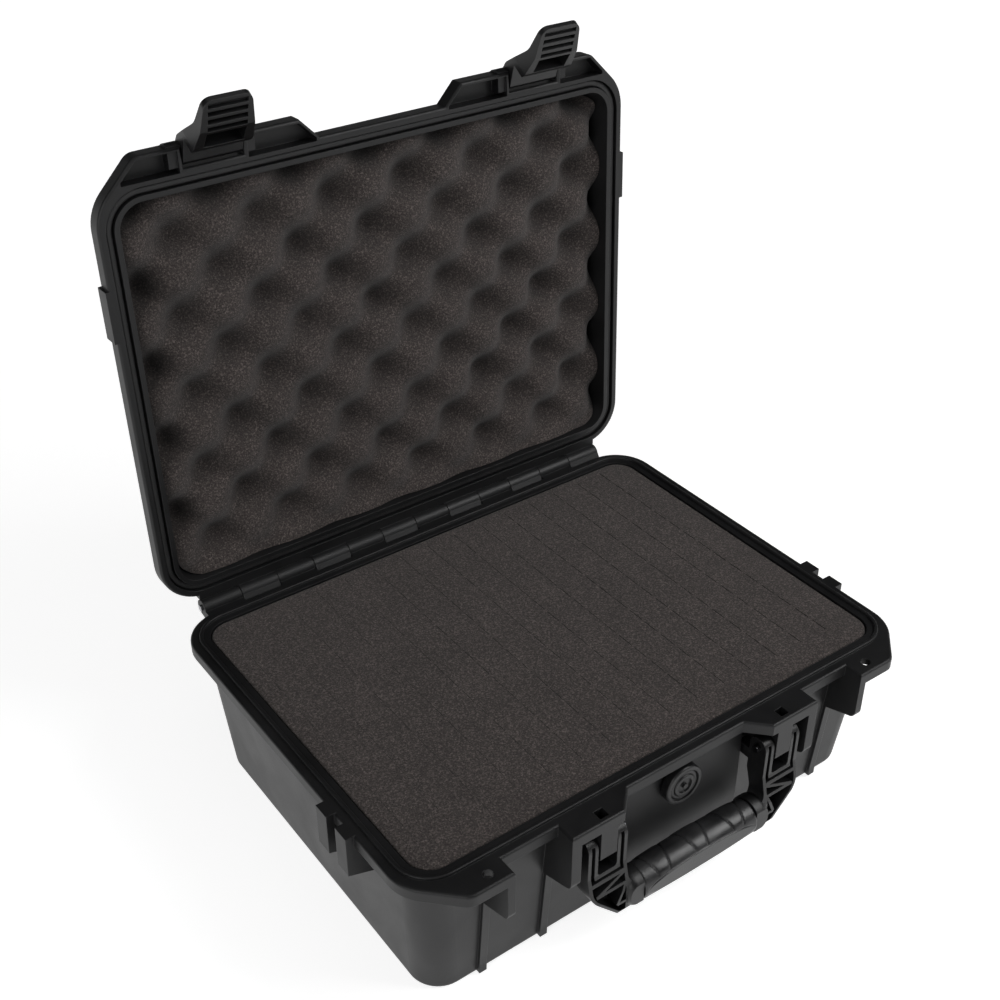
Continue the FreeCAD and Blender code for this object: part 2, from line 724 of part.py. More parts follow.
def strip(start, end, width, y_low, y_high):
    """Straight web between two (x, z) points."""
    along = Vector(end[0] - start[0], 0, end[1] - start[1]).normalize()
    dx = -along.z * width / 2
    dz = along.x * width / 2
    corners = [
        (start[0] + dx, start[1] + dz),
        (start[0] - dx, start[1] - dz),
        (end[0] - dx, end[1] - dz),
        (end[0] + dx, end[1] + dz),
    ]
    return prism("xz", corners, y_low, y_high)


def arm_pockets(y_front):
    """Hollows in the front of the right arm: a groove round the fork and a pocket crossed by a zigzag web."""
    slot_floor = handle_pin_z - FORK_DEPTH
    x_low = arm_in + ARM_RIM
    x_high = arm_out - ARM_RIM
    core_low = slot_floor - ARM_RIM
    groove_low = core_low - ARM_GROOVE
    groove_top = handle_pin_z + EYE_RADIUS / 2
    groove_back = handle_pin_y - HANDLE_PIN_RADIUS - PRONG_WEB
    around = block(x_low, x_high, y_front, groove_back, groove_low, groove_top)
    core = block(slot_in - ARM_RIM, slot_out + ARM_RIM, y_front, groove_back, core_low, groove_top)
    top = groove_low - ARM_RIM
    shoulder = handle_pin_z - SHOULDER_DROP
    foot = handle_pin_z - ARM_FOOT_DROP + ARM_RIM
    foot_x = arm_in + ARM_FOOT_LENGTH
    y_floor = bar_y + BAR_DEPTH / 2 - ARM_BACK
    corners = [
        (x_low, top),
        (x_high, top),
        (x_high, shoulder, ARM_SHOULDER_ROUNDING - ARM_RIM),
        (foot_x, foot, ARM_FOOT_ROUNDING / 2),
        (x_low, foot),
    ]
    low = (shoulder + 2 * foot) / 3
    zigzag = [
        (x_low, top),
        (x_high - ARM_RIM, shoulder),
        (x_low, shoulder),
        (foot_x + ARM_RIM, low),
        (x_low, low),
    ]
    pocket = prism("xz", corners, y_front, y_floor)
    webs = [strip(a, b, ARM_WEB, y_front, y_floor) for a, b in zip(zigzag, zigzag[1:])]
    return [around.cut(core), pocket.cut(fused(webs))]


def handle_frame():
    """Folding handle frame: two forked arms with open zigzag webs, joined by the bar under the grip."""
    eye_top = handle_pin_z + EYE_RADIUS
    slot_floor = handle_pin_z - FORK_DEPTH
    shoulder = handle_pin_z - SHOULDER_DROP
    foot = handle_pin_z - ARM_FOOT_DROP
    bar_low = bar_z - BAR_HEIGHT / 2
    bar_high = bar_z + BAR_HEIGHT / 2
    right = [
        (arm_in, eye_top),
        (slot_in, eye_top),
        (slot_in, slot_floor, FORK_ROUNDING),
        (slot_out, slot_floor, FORK_ROUNDING),
        (slot_out, eye_top),
        (arm_out, eye_top),
        (arm_out, shoulder, ARM_SHOULDER_ROUNDING),
        (arm_in + ARM_FOOT_LENGTH, foot, ARM_FOOT_ROUNDING),
        (arm_in - ARM_FOOT_SWEEP, foot, FORK_ROUNDING),
        (arm_in - ARM_BAR_BEVEL, bar_low),
    ]
    left = [(-corner[0],) + corner[1:] for corner in reversed(right)]
    inside = [(-arm_in, bar_high, ARM_SWEEP), (arm_in, bar_high, ARM_SWEEP)]
    y_front = bar_y - BAR_DEPTH / 2
    y_back = handle_pin_y + EYE_RADIUS
    frame = prism("xz", right + left + inside, y_front, y_back)
    side = [
        (handle_pin_y - EYE_RADIUS, eye_top, EYE_RADIUS),
        (y_back, eye_top, EYE_RADIUS),
        (y_back, slot_floor),
        (bar_y + BAR_DEPTH / 2, bar_high),
        (bar_y + BAR_DEPTH / 2, foot, BAR_ROUNDING),
        (y_front, foot, BAR_ROUNDING),
        (y_front, bar_high),
        (handle_pin_y - EYE_RADIUS, slot_floor),
    ]
    frame = frame.common(prism("yz", side, -arm_out, arm_out))
    heel_top = handle_pin_z - HEEL_TOP
    heel_back = front_wall(heel_top) - HEEL_GAP
    heels = []
    for x_low, x_high in ((arm_in, slot_in), (slot_out, arm_out)):
        heels.append(block(x_low, x_high, handle_pin_y, heel_back, heel_top - HEEL_HEIGHT, heel_top))
    collar = grip_collar().cut(grip_front())
    frame = fused([frame] + both_sides(heels + [collar]))
    bore = rod(HANDLE_PIN_RADIUS + PIN_CLEARANCE, arm_in, arm_out, handle_pin_y, handle_pin_z)
    for hollow in both_sides(arm_pockets(y_front) + [bore]):
        frame = frame.cut(hollow)
    return frame


def grip_collar():
    """Round collar where the right arm runs into the grip."""
    x_low = arm_in - COLLAR_LENGTH
    x_high = arm_in + ARM_RIM
    rim = bar_z + GRIP_RADIUS - COLLAR_DROP
    corners = [(x_low, bar_z), (x_low, rim), (x_high, rim, COLLAR_ROUNDING), (x_high, bar_z)]
    return Part.Face(outline("xz", corners, bar_y)).revolve(Vector(0, bar_y, bar_z), RIGHT, 360)


def grip_front():
    """Space in front of the flat on the grip and its collars."""
    reach = 2 * GRIP_RADIUS
    y_flat = bar_y - GRIP_FLAT
    return block(-arm_out, arm_out, y_flat - reach, y_flat, bar_z - reach, bar_z + reach)


def handle_grip(frame):
    """Soft sleeve about the bar, with three finger ridges between pairs of grooves and a flat front."""
    reach = arm_in - COLLAR_LENGTH - GRIP_END_GAP
    rim = bar_z + GRIP_RADIUS
    corners = [(-reach, bar_z), (-reach, rim)]
    pitch = 2 * reach / GRIP_RIDGES
    for i in range(GRIP_RIDGES):
        middle = (i + 0.5) * pitch - reach
        for x in (middle - GRIP_RIDGE_SHARE * pitch / 2, middle + GRIP_RIDGE_SHARE * pitch / 2):
            corners.append((x - GRIP_GROOVE_WIDTH / 2, rim))
            corners.append((x, rim - GRIP_GROOVE_DEPTH))
            corners.append((x + GRIP_GROOVE_WIDTH / 2, rim))
    corners += [(reach, rim), (reach, bar_z)]
    sleeve = Part.Face(outline("xz", corners, bar_y)).revolve(Vector(0, bar_y, bar_z), RIGHT, 360)
    return sleeve.cut(grip_front()).cut(frame)


def handle_pin():
    return rod(HANDLE_PIN_RADIUS, arm_in - HANDLE_PIN_STICKOUT, arm_out, handle_pin_y, handle_pin_z)


def turned_body(corners):
    """Solid of revolution about the valve's axis, from (radius, y) corners."""
    face = Part.Face(outline("xy", corners, valve_z))
    return face.revolve(Vector(0, 0, valve_z), BACKWARD, 360)


def valve_seat_y():
    """Y of the valve flange's back, on its seal."""
    return plateau_y - VALVE_SEAL_THICKNESS


def shank_end_y():
    return spot_face_y() + NUT_THICKNESS + SPOT_MARGIN


def valve_body():
    back = valve_seat_y()
    face = back - VALVE_FLANGE
    recess = KNOB_RADIUS + 2 * VALVE_FIT
    vent = VENT_DISC_RADIUS + VALVE_FIT
    corners = [
        (VALVE_BORE_RADIUS, face + KNOB_RECESS),
        (recess, face + KNOB_RECESS),
        (recess, face),
        (recess + VALVE_RIM, face),
        (VALVE_RADIUS - 2 * VALVE_RIM, face + VALVE_RIM / 2),
        (VALVE_RADIUS - 2 * VALVE_RIM, face - VALVE_RIM / 2),
        (VALVE_RADIUS, face - VALVE_RIM / 2, VALVE_RIM),
        (VALVE_RADIUS, back),
        (VALVE_SHANK_RADIUS, back),
        (VALVE_SHANK_RADIUS, shank_end_y()),
        (vent, shank_end_y()),
        (vent, shank_end_y() - VENT_DISC_THICKNESS),
        (VALVE_BORE_RADIUS, shank_end_y() - VENT_DISC_THICKNESS),
    ]
    return turned_body(corners)


def valve_knob():
    seat = valve_seat_y() - VALVE_FLANGE + KNOB_RECESS
    face = seat - KNOB_HEIGHT
    stem = VALVE_BORE_RADIUS - VALVE_FIT
    corners = [
        (0, face - KNOB_DISH_DEPTH / 2),
        (KNOB_NUB_RADIUS, face - KNOB_DISH_DEPTH / 2),
        (KNOB_NUB_RADIUS, face + KNOB_DISH_DEPTH),
        (KNOB_DISH_RADIUS, face + KNOB_DISH_DEPTH),
        (KNOB_DISH_RADIUS, face),
        (KNOB_RADIUS, face, KNOB_ROUNDING),
        (KNOB_RADIUS, seat),
        (stem, seat),
        (stem, plateau_y),
        (0, plateau_y),
    ]
    return turned_body(corners)


def valve_seal():
    ring = disc(VALVE_SEAL_RADIUS, valve_seat_y(), plateau_y, 0, valve_z)
    return ring.cut(disc(VALVE_SHANK_RADIUS + VALVE_FIT, valve_seat_y(), plateau_y, 0, valve_z))


def valve_nut():
    corners = []
    for i in range(6):
        angle = math.radians(60 * i)
        corners.append((nut_radius * math.cos(angle), valve_z + nut_radius * math.sin(angle)))
    y_low = spot_face_y()
    y_high = y_low + NUT_THICKNESS
    nut = prism("xz", corners, y_low, y_high)
    return nut.cut(disc(VALVE_SHANK_RADIUS + VALVE_FIT, y_low, y_high, 0, valve_z))


def valve_vent_disc():
    return disc(VENT_DISC_RADIUS, shank_end_y() - VENT_DISC_THICKNESS, shank_end_y(), 0, valve_z)


def base_foam_pad():
    inset = WALL + FOAM_GAP
    top = FLOOR + FOAM_PAD_THICKNESS
    return Part.makeLoft([base_section(FLOOR, inset), base_section(top, inset)], True, True)


def base_foam():
    """Pick-and-pluck block, relieved behind the valve."""
    inset = WALL + FOAM_GAP
    low = FLOOR + FOAM_PAD_THICKNESS
    top = BASE_HEIGHT - FOAM_TOP_DROP
    foam = Part.makeLoft([base_section(low, inset), base_section(top, inset)], True, True)
    relief = disc(spot_radius + FOAM_RELIEF, -throat_y, shank_end_y() + FOAM_RELIEF, 0, valve_z)
    return foam.cut(relief)


def lid_foam():
    """Egg-crate sheet: a block with round dimples on a diagonal grid."""
    low = lid_rim + LID_FOAM_RISE
    top = lid_top - ROOF
    inset = WALL + LID_FOAM_GAP
    foam = Part.makeLoft([lid_section(low, inset), lid_section(top, inset)], True, True)
    ball_radius = (CRATE_DIMPLE_RADIUS**2 + CRATE_DEPTH**2) / (2 * CRATE_DEPTH)
    ball_z = low + CRATE_DEPTH - ball_radius
    columns = math.ceil(half_length / CRATE_STEP_X) + 1
    rows = math.ceil(half_width / CRATE_STEP_Y) + 1
    balls = []
    for i in range(-columns, columns + 1):
        for j in range(-rows, rows + 1):
            if (i + j) % 2:
                continue
            x = CRATE_SHIFT_X + i * CRATE_STEP_X
            y = CRATE_SHIFT_Y + j * CRATE_STEP_Y
            if abs(x) < throat_x + CRATE_DIMPLE_RADIUS and abs(y) < throat_y + CRATE_DIMPLE_RADIUS:
                balls.append(Part.makeSphere(ball_radius, Vector(x, y, ball_z)))
    return foam.cut(Part.makeCompound(balls))


def opened(shape):
    """Shape of the closed lid, turned with it to the open pose."""
    return turned(shape, hinge_y, hinge_z, -LID_OPEN_ANGLE)


def main():
    frame = handle_frame()
    nodes = {
        "base_shell": base_shell(),
        "hinge_pin": hinge_pin(),
        "base_foam_pad": base_foam_pad(),
        "base_foam": base_foam(),
        "lid_shell": opened(lid_shell()),
        "lid_gasket": opened(gasket()),
        "lid_foam": opened(lid_foam()),
        "latch_right": opened(latch()),
        "latch_left": opened(mirrored(latch())),
        "latch_pin_right": opened(latch_pin()),
        "latch_pin_left": opened(mirrored(latch_pin())),
        "handle_frame": frame,
        "handle_grip": handle_grip(frame),
        "handle_pin_right": handle_pin(),
        "handle_pin_left": mirrored(handle_pin()),
        "valve_body": valve_body(),
        "valve_knob": valve_knob(),
        "valve_seal": valve_seal(),
        "valve_nut": valve_nut(),
        "valve_vent_disc": valve_vent_disc(),
    }
    os.makedirs("parts", exist_ok=True)
    for name, shape in nodes.items():
        solids = shape.Solids
        print(name, "solids", len(solids), "valid", shape.isValid(), "volume", round(shape.Volume))
        shape.exportStep(f"parts/{name}.step")


main()
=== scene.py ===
"""Foam-lined hard carrying case: finishes, foam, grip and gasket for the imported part,
in a plain studio."""

import json
import math

import bmesh
import bpy
from bpy.props import FloatProperty, FloatVectorProperty, PointerProperty
from mathutils import Matrix, Vector, noise


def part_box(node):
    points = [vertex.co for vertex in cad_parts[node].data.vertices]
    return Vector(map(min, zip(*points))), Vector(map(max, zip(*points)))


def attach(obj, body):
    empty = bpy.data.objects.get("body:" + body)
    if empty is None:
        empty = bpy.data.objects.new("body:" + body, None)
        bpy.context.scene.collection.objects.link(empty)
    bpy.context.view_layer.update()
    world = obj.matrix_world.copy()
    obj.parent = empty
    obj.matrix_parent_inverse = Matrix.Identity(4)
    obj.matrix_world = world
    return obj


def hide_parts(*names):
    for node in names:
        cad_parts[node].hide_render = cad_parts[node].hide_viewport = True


bl_info = {
    "name": "Foam-lined carrying case",
    "version": (1, 0, 0),
    "blender": (4, 5, 0),
    "location": "3D View > Sidebar > Carrying case",
    "description": "Foam, grip, gasket and finishes for a hard carrying case, in a plain studio",
    "category": "Add Mesh",
}

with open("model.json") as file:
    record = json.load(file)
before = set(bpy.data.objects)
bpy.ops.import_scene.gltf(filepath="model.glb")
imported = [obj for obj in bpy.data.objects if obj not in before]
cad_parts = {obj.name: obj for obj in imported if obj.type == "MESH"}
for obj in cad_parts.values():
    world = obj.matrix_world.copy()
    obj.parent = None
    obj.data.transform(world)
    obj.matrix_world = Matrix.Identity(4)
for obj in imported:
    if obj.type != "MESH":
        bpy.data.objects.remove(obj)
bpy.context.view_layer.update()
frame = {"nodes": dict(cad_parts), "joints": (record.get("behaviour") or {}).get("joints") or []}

MM = 0.001
TOUCHING = MM / 1000  # nearer than this, two places count as one
OUTLINE_TURN = 1.0  # an edge whose faces turn by more than this, in radians, is an outline

# Sizes of the patterns in the finishes
FLOW_CLOUD = 38 * MM  # clouds where molten plastic flowed
RUB_PATCH = 9 * MM  # patches in which edges are rubbed
GRAIN_HEIGHT = 0.12 * MM  # relief of the moulded grain
FOAM_CLOUD = 30 * MM  # faint clouds in the foam
FOAM_PAINTED_SHADE_REACH = 22 * MM  # reach of the painted shade that darkens the foam's hollows
FOAM_NAP = 0.5 * MM  # relief of the sawn foam
RUBBER_PIT = 0.8 * MM  # pits in rubber, drawn coarser than their real 0.2 mm so that they show
RUBBER_PATCH = 11 * MM  # patches of waxy bloom
RUBBER_RELIEF = 0.1 * MM
DRAW_LINE = 0.35 * MM  # draw lines, drawn coarser than their real 0.05 mm so that they show
DRAW_STRETCH = (0.02, 1.0, 1.0)  # the lines run along the pins
DRAW_RELIEF = 0.05 * MM
THREAD = 0.16 * MM  # threads of the vent membrane
THREAD_RELIEF = 0.1 * MM
PAPER_TOOTH = 4 * MM  # tooth of the paper, drawn coarser than its real 0.3 mm so that it shows
PAPER_RELIEF = 0.1 * MM

# Sockets of a Mix node that mixes colours
SHARE, FIRST, SECOND = 0, 6, 7
MIXED = 2

# Egg-crate of the lid foam
CRATE_FACES_X, CRATE_FACES_Y = 170, 124
RIM_POWER = 12  # how near the rim the foam starts to lean in
VALLEY_POWER = 1.5  # above 1, crests are broader than valleys
STRAY_SEED = 7  # without a seed, the noise that shifts the dimples differs from run to run
SWELL_SLICE = 0.3  # slice of the noise that swells the valleys, apart from the one that shifts them
HEM_PRESS = 0.85  # share of its relief that the hem loses

# Slits and pocket of the base foam
TOP_BAND = MM / 10  # faces this near the block's highest point are its top
SLIT_LEFT = 0.3  # share of their width that slits keep at the left end
FACING_FRONT = -0.9  # faces with a normal below this across the case make up the front

# Shape of the grip. Angles go round the bar from the front, and upwards
GRIP_FACES, GRIP_CUTS = 280, 159  # faces round it and cuts along it
UNDER_TAPER = 0.3  # share of the end taper that the underside has
UNDER_FROM, UNDER_STEEP = math.radians(-30), 4  # the underside lies below this
RIDGES = 3
RIDGE_SHARE = 0.2  # half a ridge's width as a share of the ridges' spacing
RIDGE_LEVEL = math.radians(70)  # where a ridge has that width
RIDGE_LEAN = 2.4 * MM  # how much half a ridge widens with each radian above that
UPPER_FROM, UPPER_STEEP = math.radians(36), 9  # the ridges lie above this
PANEL_FACING = math.radians(-1)
PANEL_SPAN = 1.2  # the panel stays within this many radians

# Lamps: name, property that holds the power, place and side. All face the middle of the base
LAMPS = (
    ("key_lamp", "key", (0.80, -0.75, 1.10), 0.8),
    ("fill_lamp", "fill", (-1.55, -0.80, 0.95), 1.1),
    ("top_lamp", "top", (0.0, -0.2, 2.60), 2.6),
)
LAMP_AIM = (0, 0, 0.1)
WHITE_FROM, WHITE_AT = 0.5, 1.6  # between these distances the floor runs to white
WALL_TOP, CEILING = 0.08, 0.20  # heights on the unit sphere at which the studio darkens
WALL_LIGHT, CEILING_LIGHT = 0.8, 0.016


def linear(code):
    """Linear red, green, blue and alpha of an sRGB hex colour."""
    parts = [int(code[i:i + 2], 16) / 255 for i in (1, 3, 5)]
    return [p / 12.92 if p <= 0.04045 else ((p + 0.055) / 1.055) ** 2.4 for p in parts] + [1.0]


def length(name, description, millimetres):
    """Property for a length, given in millimetres."""
    return FloatProperty(name=name, description=description, default=millimetres * MM,
                         subtype="DISTANCE", unit="LENGTH", precision=5)


def colour(name, description, code):
    """Property for a colour, given as an sRGB hex value."""
    return FloatVectorProperty(name=name, description=description, default=linear(code),
                               subtype="COLOR", size=4, min=0.0, max=1.0)


def angle_of(name, description, degrees):
    """Property for an angle, given in degrees."""
    return FloatProperty(name=name, description=description, default=math.radians(degrees),
                         subtype="ANGLE")


def power_of(name, description, watts):
    """Property for a lamp's power, given in watts."""
    return FloatProperty(name=name, description=description, default=watts, unit="POWER")


class CaseFoam(bpy.types.PropertyGroup):
    """Sizes and colours of the foam in the base and the lid."""

    corner: length("Corner radius", "Radius of the base foam's upright corners", 13.5)
    lid_corner: length("Lid corner radius", "Radius of the lid foam's corners", 15.0)
    base_draft: length("Base draft", "How far the base foam's ends and front lean in", 8.0)
    back_draft: length("Back draft", "How far the base foam's back leans in", 3.5)
    base_height: length("Base height", "Height over which the base foam leans that far", 96.0)
    lid_draft: length("Lid draft", "How far the lid foam's sides lean in", 8.0)
    lid_depth: length("Lid depth", "Depth over which the lid foam leans that far", 46.0)
    edge: length("Edge rounding", "Rounding of the base foam's cut edges", 1.2)
    relief: length("Valve relief", "Half the width of the pocket behind the valve", 12.3)
    relief_back: length("Relief back", "Place across the case of that pocket's back", -104.5)
    crest_step_x: length("Crate step along", "From a valley to the next crest along the case", 23.8)
    crest_step_y: length("Crate step across", "From a valley to the next crest across it", 22.9)
    valley_x: length("Valley along", "Place along the case of one egg-crate valley", -6.4)
    valley_y: length("Valley across", "Place across the closed case of that valley", -19.8)
    valley_depth: length("Valley depth", "From the egg-crate's crests to its valleys", 14.5)
    recess: length("Recess", "From the lid foam's highest crests down to most of them", 2.2)
    hem: length("Hem", "Width along the hinge where the egg-crate is pressed flat", 26.0)
    stray: length("Stray", "How far crests and valleys stray from an even grid", 2.2)
    stray_span: length("Stray span", "Distance over which that straying changes", 70.0)
    swell: FloatProperty(name="Swell", description="Share by which valleys differ in depth",
                         default=0.18, subtype="FACTOR")
    swell_span: length("Swell span", "Distance over which that depth changes", 45.0)
    cell: length("Cell", "Grain, drawn coarser than its real 0.5 mm cells so that it shows", 1.0)
    slit_row: length("Slit rows", "Distance between rows of slits in the base foam", 19.6)
    slit_first: length("First slit row", "Place along the case of one row of slits", 14.0)
    slit_pitch: length("Slit pitch", "From one slit to the next in a row", 13.6)
    slit_middle: length("Slit middle", "Place across the case of the middle of one slit", -35.1)
    slit_length: length("Slit length", "Length of one slit", 10.6)
    slit_width: length("Slit width", "Width of the widest slits, whose lips stand open", 0.5)
    slit_depth: length("Slit depth", "How deep the slits are cut", 6.0)
    body: colour("Foam", "Charcoal foam between its pores", "#393331")
    pore: colour("Pore", "Shaded pores of the foam", "#151211")
    strut: colour("Strut", "Cell walls that catch the light", "#776d69")


class CaseGrip(bpy.types.PropertyGroup):
    """Sizes and colours of the handle's soft grip."""

    waist: length("End taper", "How much thinner the grip is at its ends", 1.1)
    groove: length("Groove depth", "Depth of the grooves beside the finger ridges", 0.5)
    groove_width: length("Groove width", "Half width of a groove", 0.45)
    ridge: length("Ridge height", "How far the finger ridges swell above the barrel", 0.35)
    panel: length("Panel", "From the bar's middle to the smooth front panel", 8.6)
    panel_rise: length("Panel rise", "How much farther out the panel lies at the ends", 0.9)
    lip: length("Panel lip", "Half width of the line along the panel's upper edge", 0.4)
    lip_depth: length("Panel lip depth", "Depth of that line", 0.7)
    rim: length("Rim rounding", "Rounding of the grip's ends", 0.5)
    bar_gap: length("Bar gap", "Gap between the bar and the grip's bore", 0.1)
    body: colour("Grip", "Moulded thermoplastic rubber", "#1b1b1c")
    bloom: colour("Grip bloom", "Paler film where hands rub it", "#29292a")


class CaseGasket(bpy.types.PropertyGroup):
    """Sizes of the gasket in the lid's groove."""

    width: length("Width", "Width of the gasket", 4.0)
    corner: length("Corner radius", "Radius of the gasket's outer corners", 21.0)
    rounding: length("Rounding", "Rounding of the sealing face's edges", 1.4)


class CaseFinish(bpy.types.PropertyGroup):
    """Colours and grains of the plastics, rubber and steel."""

    shell: colour("Shell", "Moulded black polypropylene", "#0f0f10")
    shell_flow: colour("Shell flow", "Where the melt met or cooled unevenly", "#161617")
    fitting: colour("Fittings", "Moulded black nylon", "#0d0d0e")
    fitting_flow: colour("Fitting flow", "Nylon where glass fibre shows near the skin", "#171718")
    worn: colour("Worn edge", "Edges burnished by handling", "#2a2a2c")
    rubber: colour("Rubber", "Sealing rubber", "#101011")
    rubber_bloom: colour("Rubber bloom", "Waxy bloom on sealing rubber", "#1c1c1d")
    steel: colour("Steel", "Drawn stainless steel", "#b9b9bb")
    steel_drawn: colour("Steel lines", "Draw lines along the steel", "#8e8e92")
    plated: colour("Plated steel", "Black-plated steel of the small pins", "#4c4c4e")
    plated_drawn: colour("Plated lines", "Draw lines that show through the plating", "#39393b")
    membrane: colour("Membrane", "Threads of the vent membrane", "#cfcfcb")
    membrane_gap: colour("Membrane gap", "Gaps between those threads", "#8d8d89")
    shell_grain: length("Shell grain", "Grain, coarser than its real 0.2 mm so that it shows", 0.9)
    fitting_grain: length("Fitting grain", "Grain, coarser than its real 0.1 mm", 0.6)
    edge: length("Edge softness", "Rounding of moulded edges", 0.5)


class CaseStage(bpy.types.PropertyGroup):
    """Floor, lamps and camera."""

    floor: colour("Floor", "Matt pale paper", "#cbcbcb")
    lift: FloatProperty(name="Floor lift", description="Glow that lifts the paper to white",
                        default=0.8)
    floor_size: FloatProperty(name="Floor size", description="Half the floor's width",
                              default=9.0, unit="LENGTH")
    key: power_of("Key lamp", "Soft box at the front right", 11.5)
    fill: power_of("Fill lamp", "Soft box at the front left", 11.0)
    top: power_of("Top lamp", "Wide soft box overhead", 10.0)
    focal: FloatProperty(name="Focal length", description="The camera's focal length",
                         default=51.112, subtype="DISTANCE_CAMERA")
    eye: FloatVectorProperty(name="Eye", description="Where the camera stands",
                             default=(-0.38613, -0.49402, 0.60435), subtype="TRANSLATION",
                             unit="LENGTH", precision=5)
    azimuth: angle_of("Azimuth", "The camera's turn round the case", -35.981)
    elevation: angle_of("Elevation", "The camera's height as an angle", 33.834)
    roll: angle_of("Roll", "The camera's lean", -0.116)


def add(tree, kind, inputs=None, **settings):
    """Add a node with its settings; an input takes a value, or a socket to link from."""
    made = tree.nodes.new(kind)
    for name, value in settings.items():
        setattr(made, name, value)
    for name, value in (inputs or {}).items():
        if isinstance(value, bpy.types.NodeSocket):
            tree.links.new(value, made.inputs[name])
        else:
            made.inputs[name].default_value = value
    return made


def new_finish(name):
    """Empty material, its node tree, and the place on the piece that its patterns read."""
    made = bpy.data.materials.new(name)
    made.use_nodes = True
    made.node_tree.nodes.clear()
    place = add(made.node_tree, "ShaderNodeTexCoord").outputs["Object"]
    return made, made.node_tree, place


def moulded_plastic(name, base, flow, worn, grain, edge, rough, ior):
    """Injection-moulded plastic. The eye sees a fine eroded grain, faint clouds where the melt
    flowed, and edges that handling has burnished a little paler and smoother."""
    made, tree, place = new_finish(name)
    grit = add(tree, "ShaderNodeTexNoise", {
        "Vector": place, "Scale": 1 / grain, "Detail": 2.0, "Roughness": 0.6})
    cloud = add(tree, "ShaderNodeTexNoise", {
        "Vector": place, "Scale": 1 / FLOW_CLOUD, "Detail": 4.0, "Roughness": 0.55,
        "Distortion": 0.6})
    rounded = add(tree, "ShaderNodeBevel", {"Radius": edge}, samples=4)
    facing = add(tree, "ShaderNodeNewGeometry").outputs["True Normal"]
    along = add(tree, "ShaderNodeVectorMath", {
        0: rounded.outputs["Normal"], 1: facing}, operation="DOT_PRODUCT")
    edges = add(tree, "ShaderNodeMapRange", {
        "Value": along.outputs["Value"], "From Min": 0.99, "From Max": 0.80,
        "To Min": 0.0, "To Max": 1.0})
    patchy = add(tree, "ShaderNodeTexNoise", {
        "Vector": place, "Scale": 1 / RUB_PATCH, "Detail": 3.0})
    rubbed = add(tree, "ShaderNodeMath", {
        0: edges.outputs["Result"], 1: patchy.outputs["Fac"]}, operation="MULTIPLY")
    clouds = add(tree, "ShaderNodeMapRange", {
        "Value": cloud.outputs["Fac"], "From Min": 0.35, "From Max": 0.68})
    body = add(tree, "ShaderNodeMix", {
        SHARE: clouds.outputs["Result"], FIRST: base, SECOND: flow}, data_type="RGBA")
    skin = add(tree, "ShaderNodeMix", {
        SHARE: rubbed.outputs["Value"], FIRST: body.outputs[MIXED], SECOND: worn},
        data_type="RGBA")
    sheen = add(tree, "ShaderNodeMapRange", {
        "Value": cloud.outputs["Fac"], "From Min": 0.3, "From Max": 0.7,
        "To Min": rough - 0.04, "To Max": rough + 0.05})
    polish = add(tree, "ShaderNodeMath", {
        0: rubbed.outputs["Value"], 1: -0.14, 2: sheen.outputs["Result"]},
        operation="MULTIPLY_ADD")
    relief = add(tree, "ShaderNodeBump", {
        "Height": grit.outputs["Fac"], "Strength": 0.35, "Distance": GRAIN_HEIGHT,
        "Normal": rounded.outputs["Normal"]})
    shader = add(tree, "ShaderNodeBsdfPrincipled", {
        "Base Color": skin.outputs[MIXED], "Roughness": polish.outputs["Value"], "IOR": ior,
        "Specular IOR Level": 0.37, "Normal": relief.outputs["Normal"]})
    add(tree, "ShaderNodeOutputMaterial", {"Surface": shader.outputs["BSDF"]})
    return made


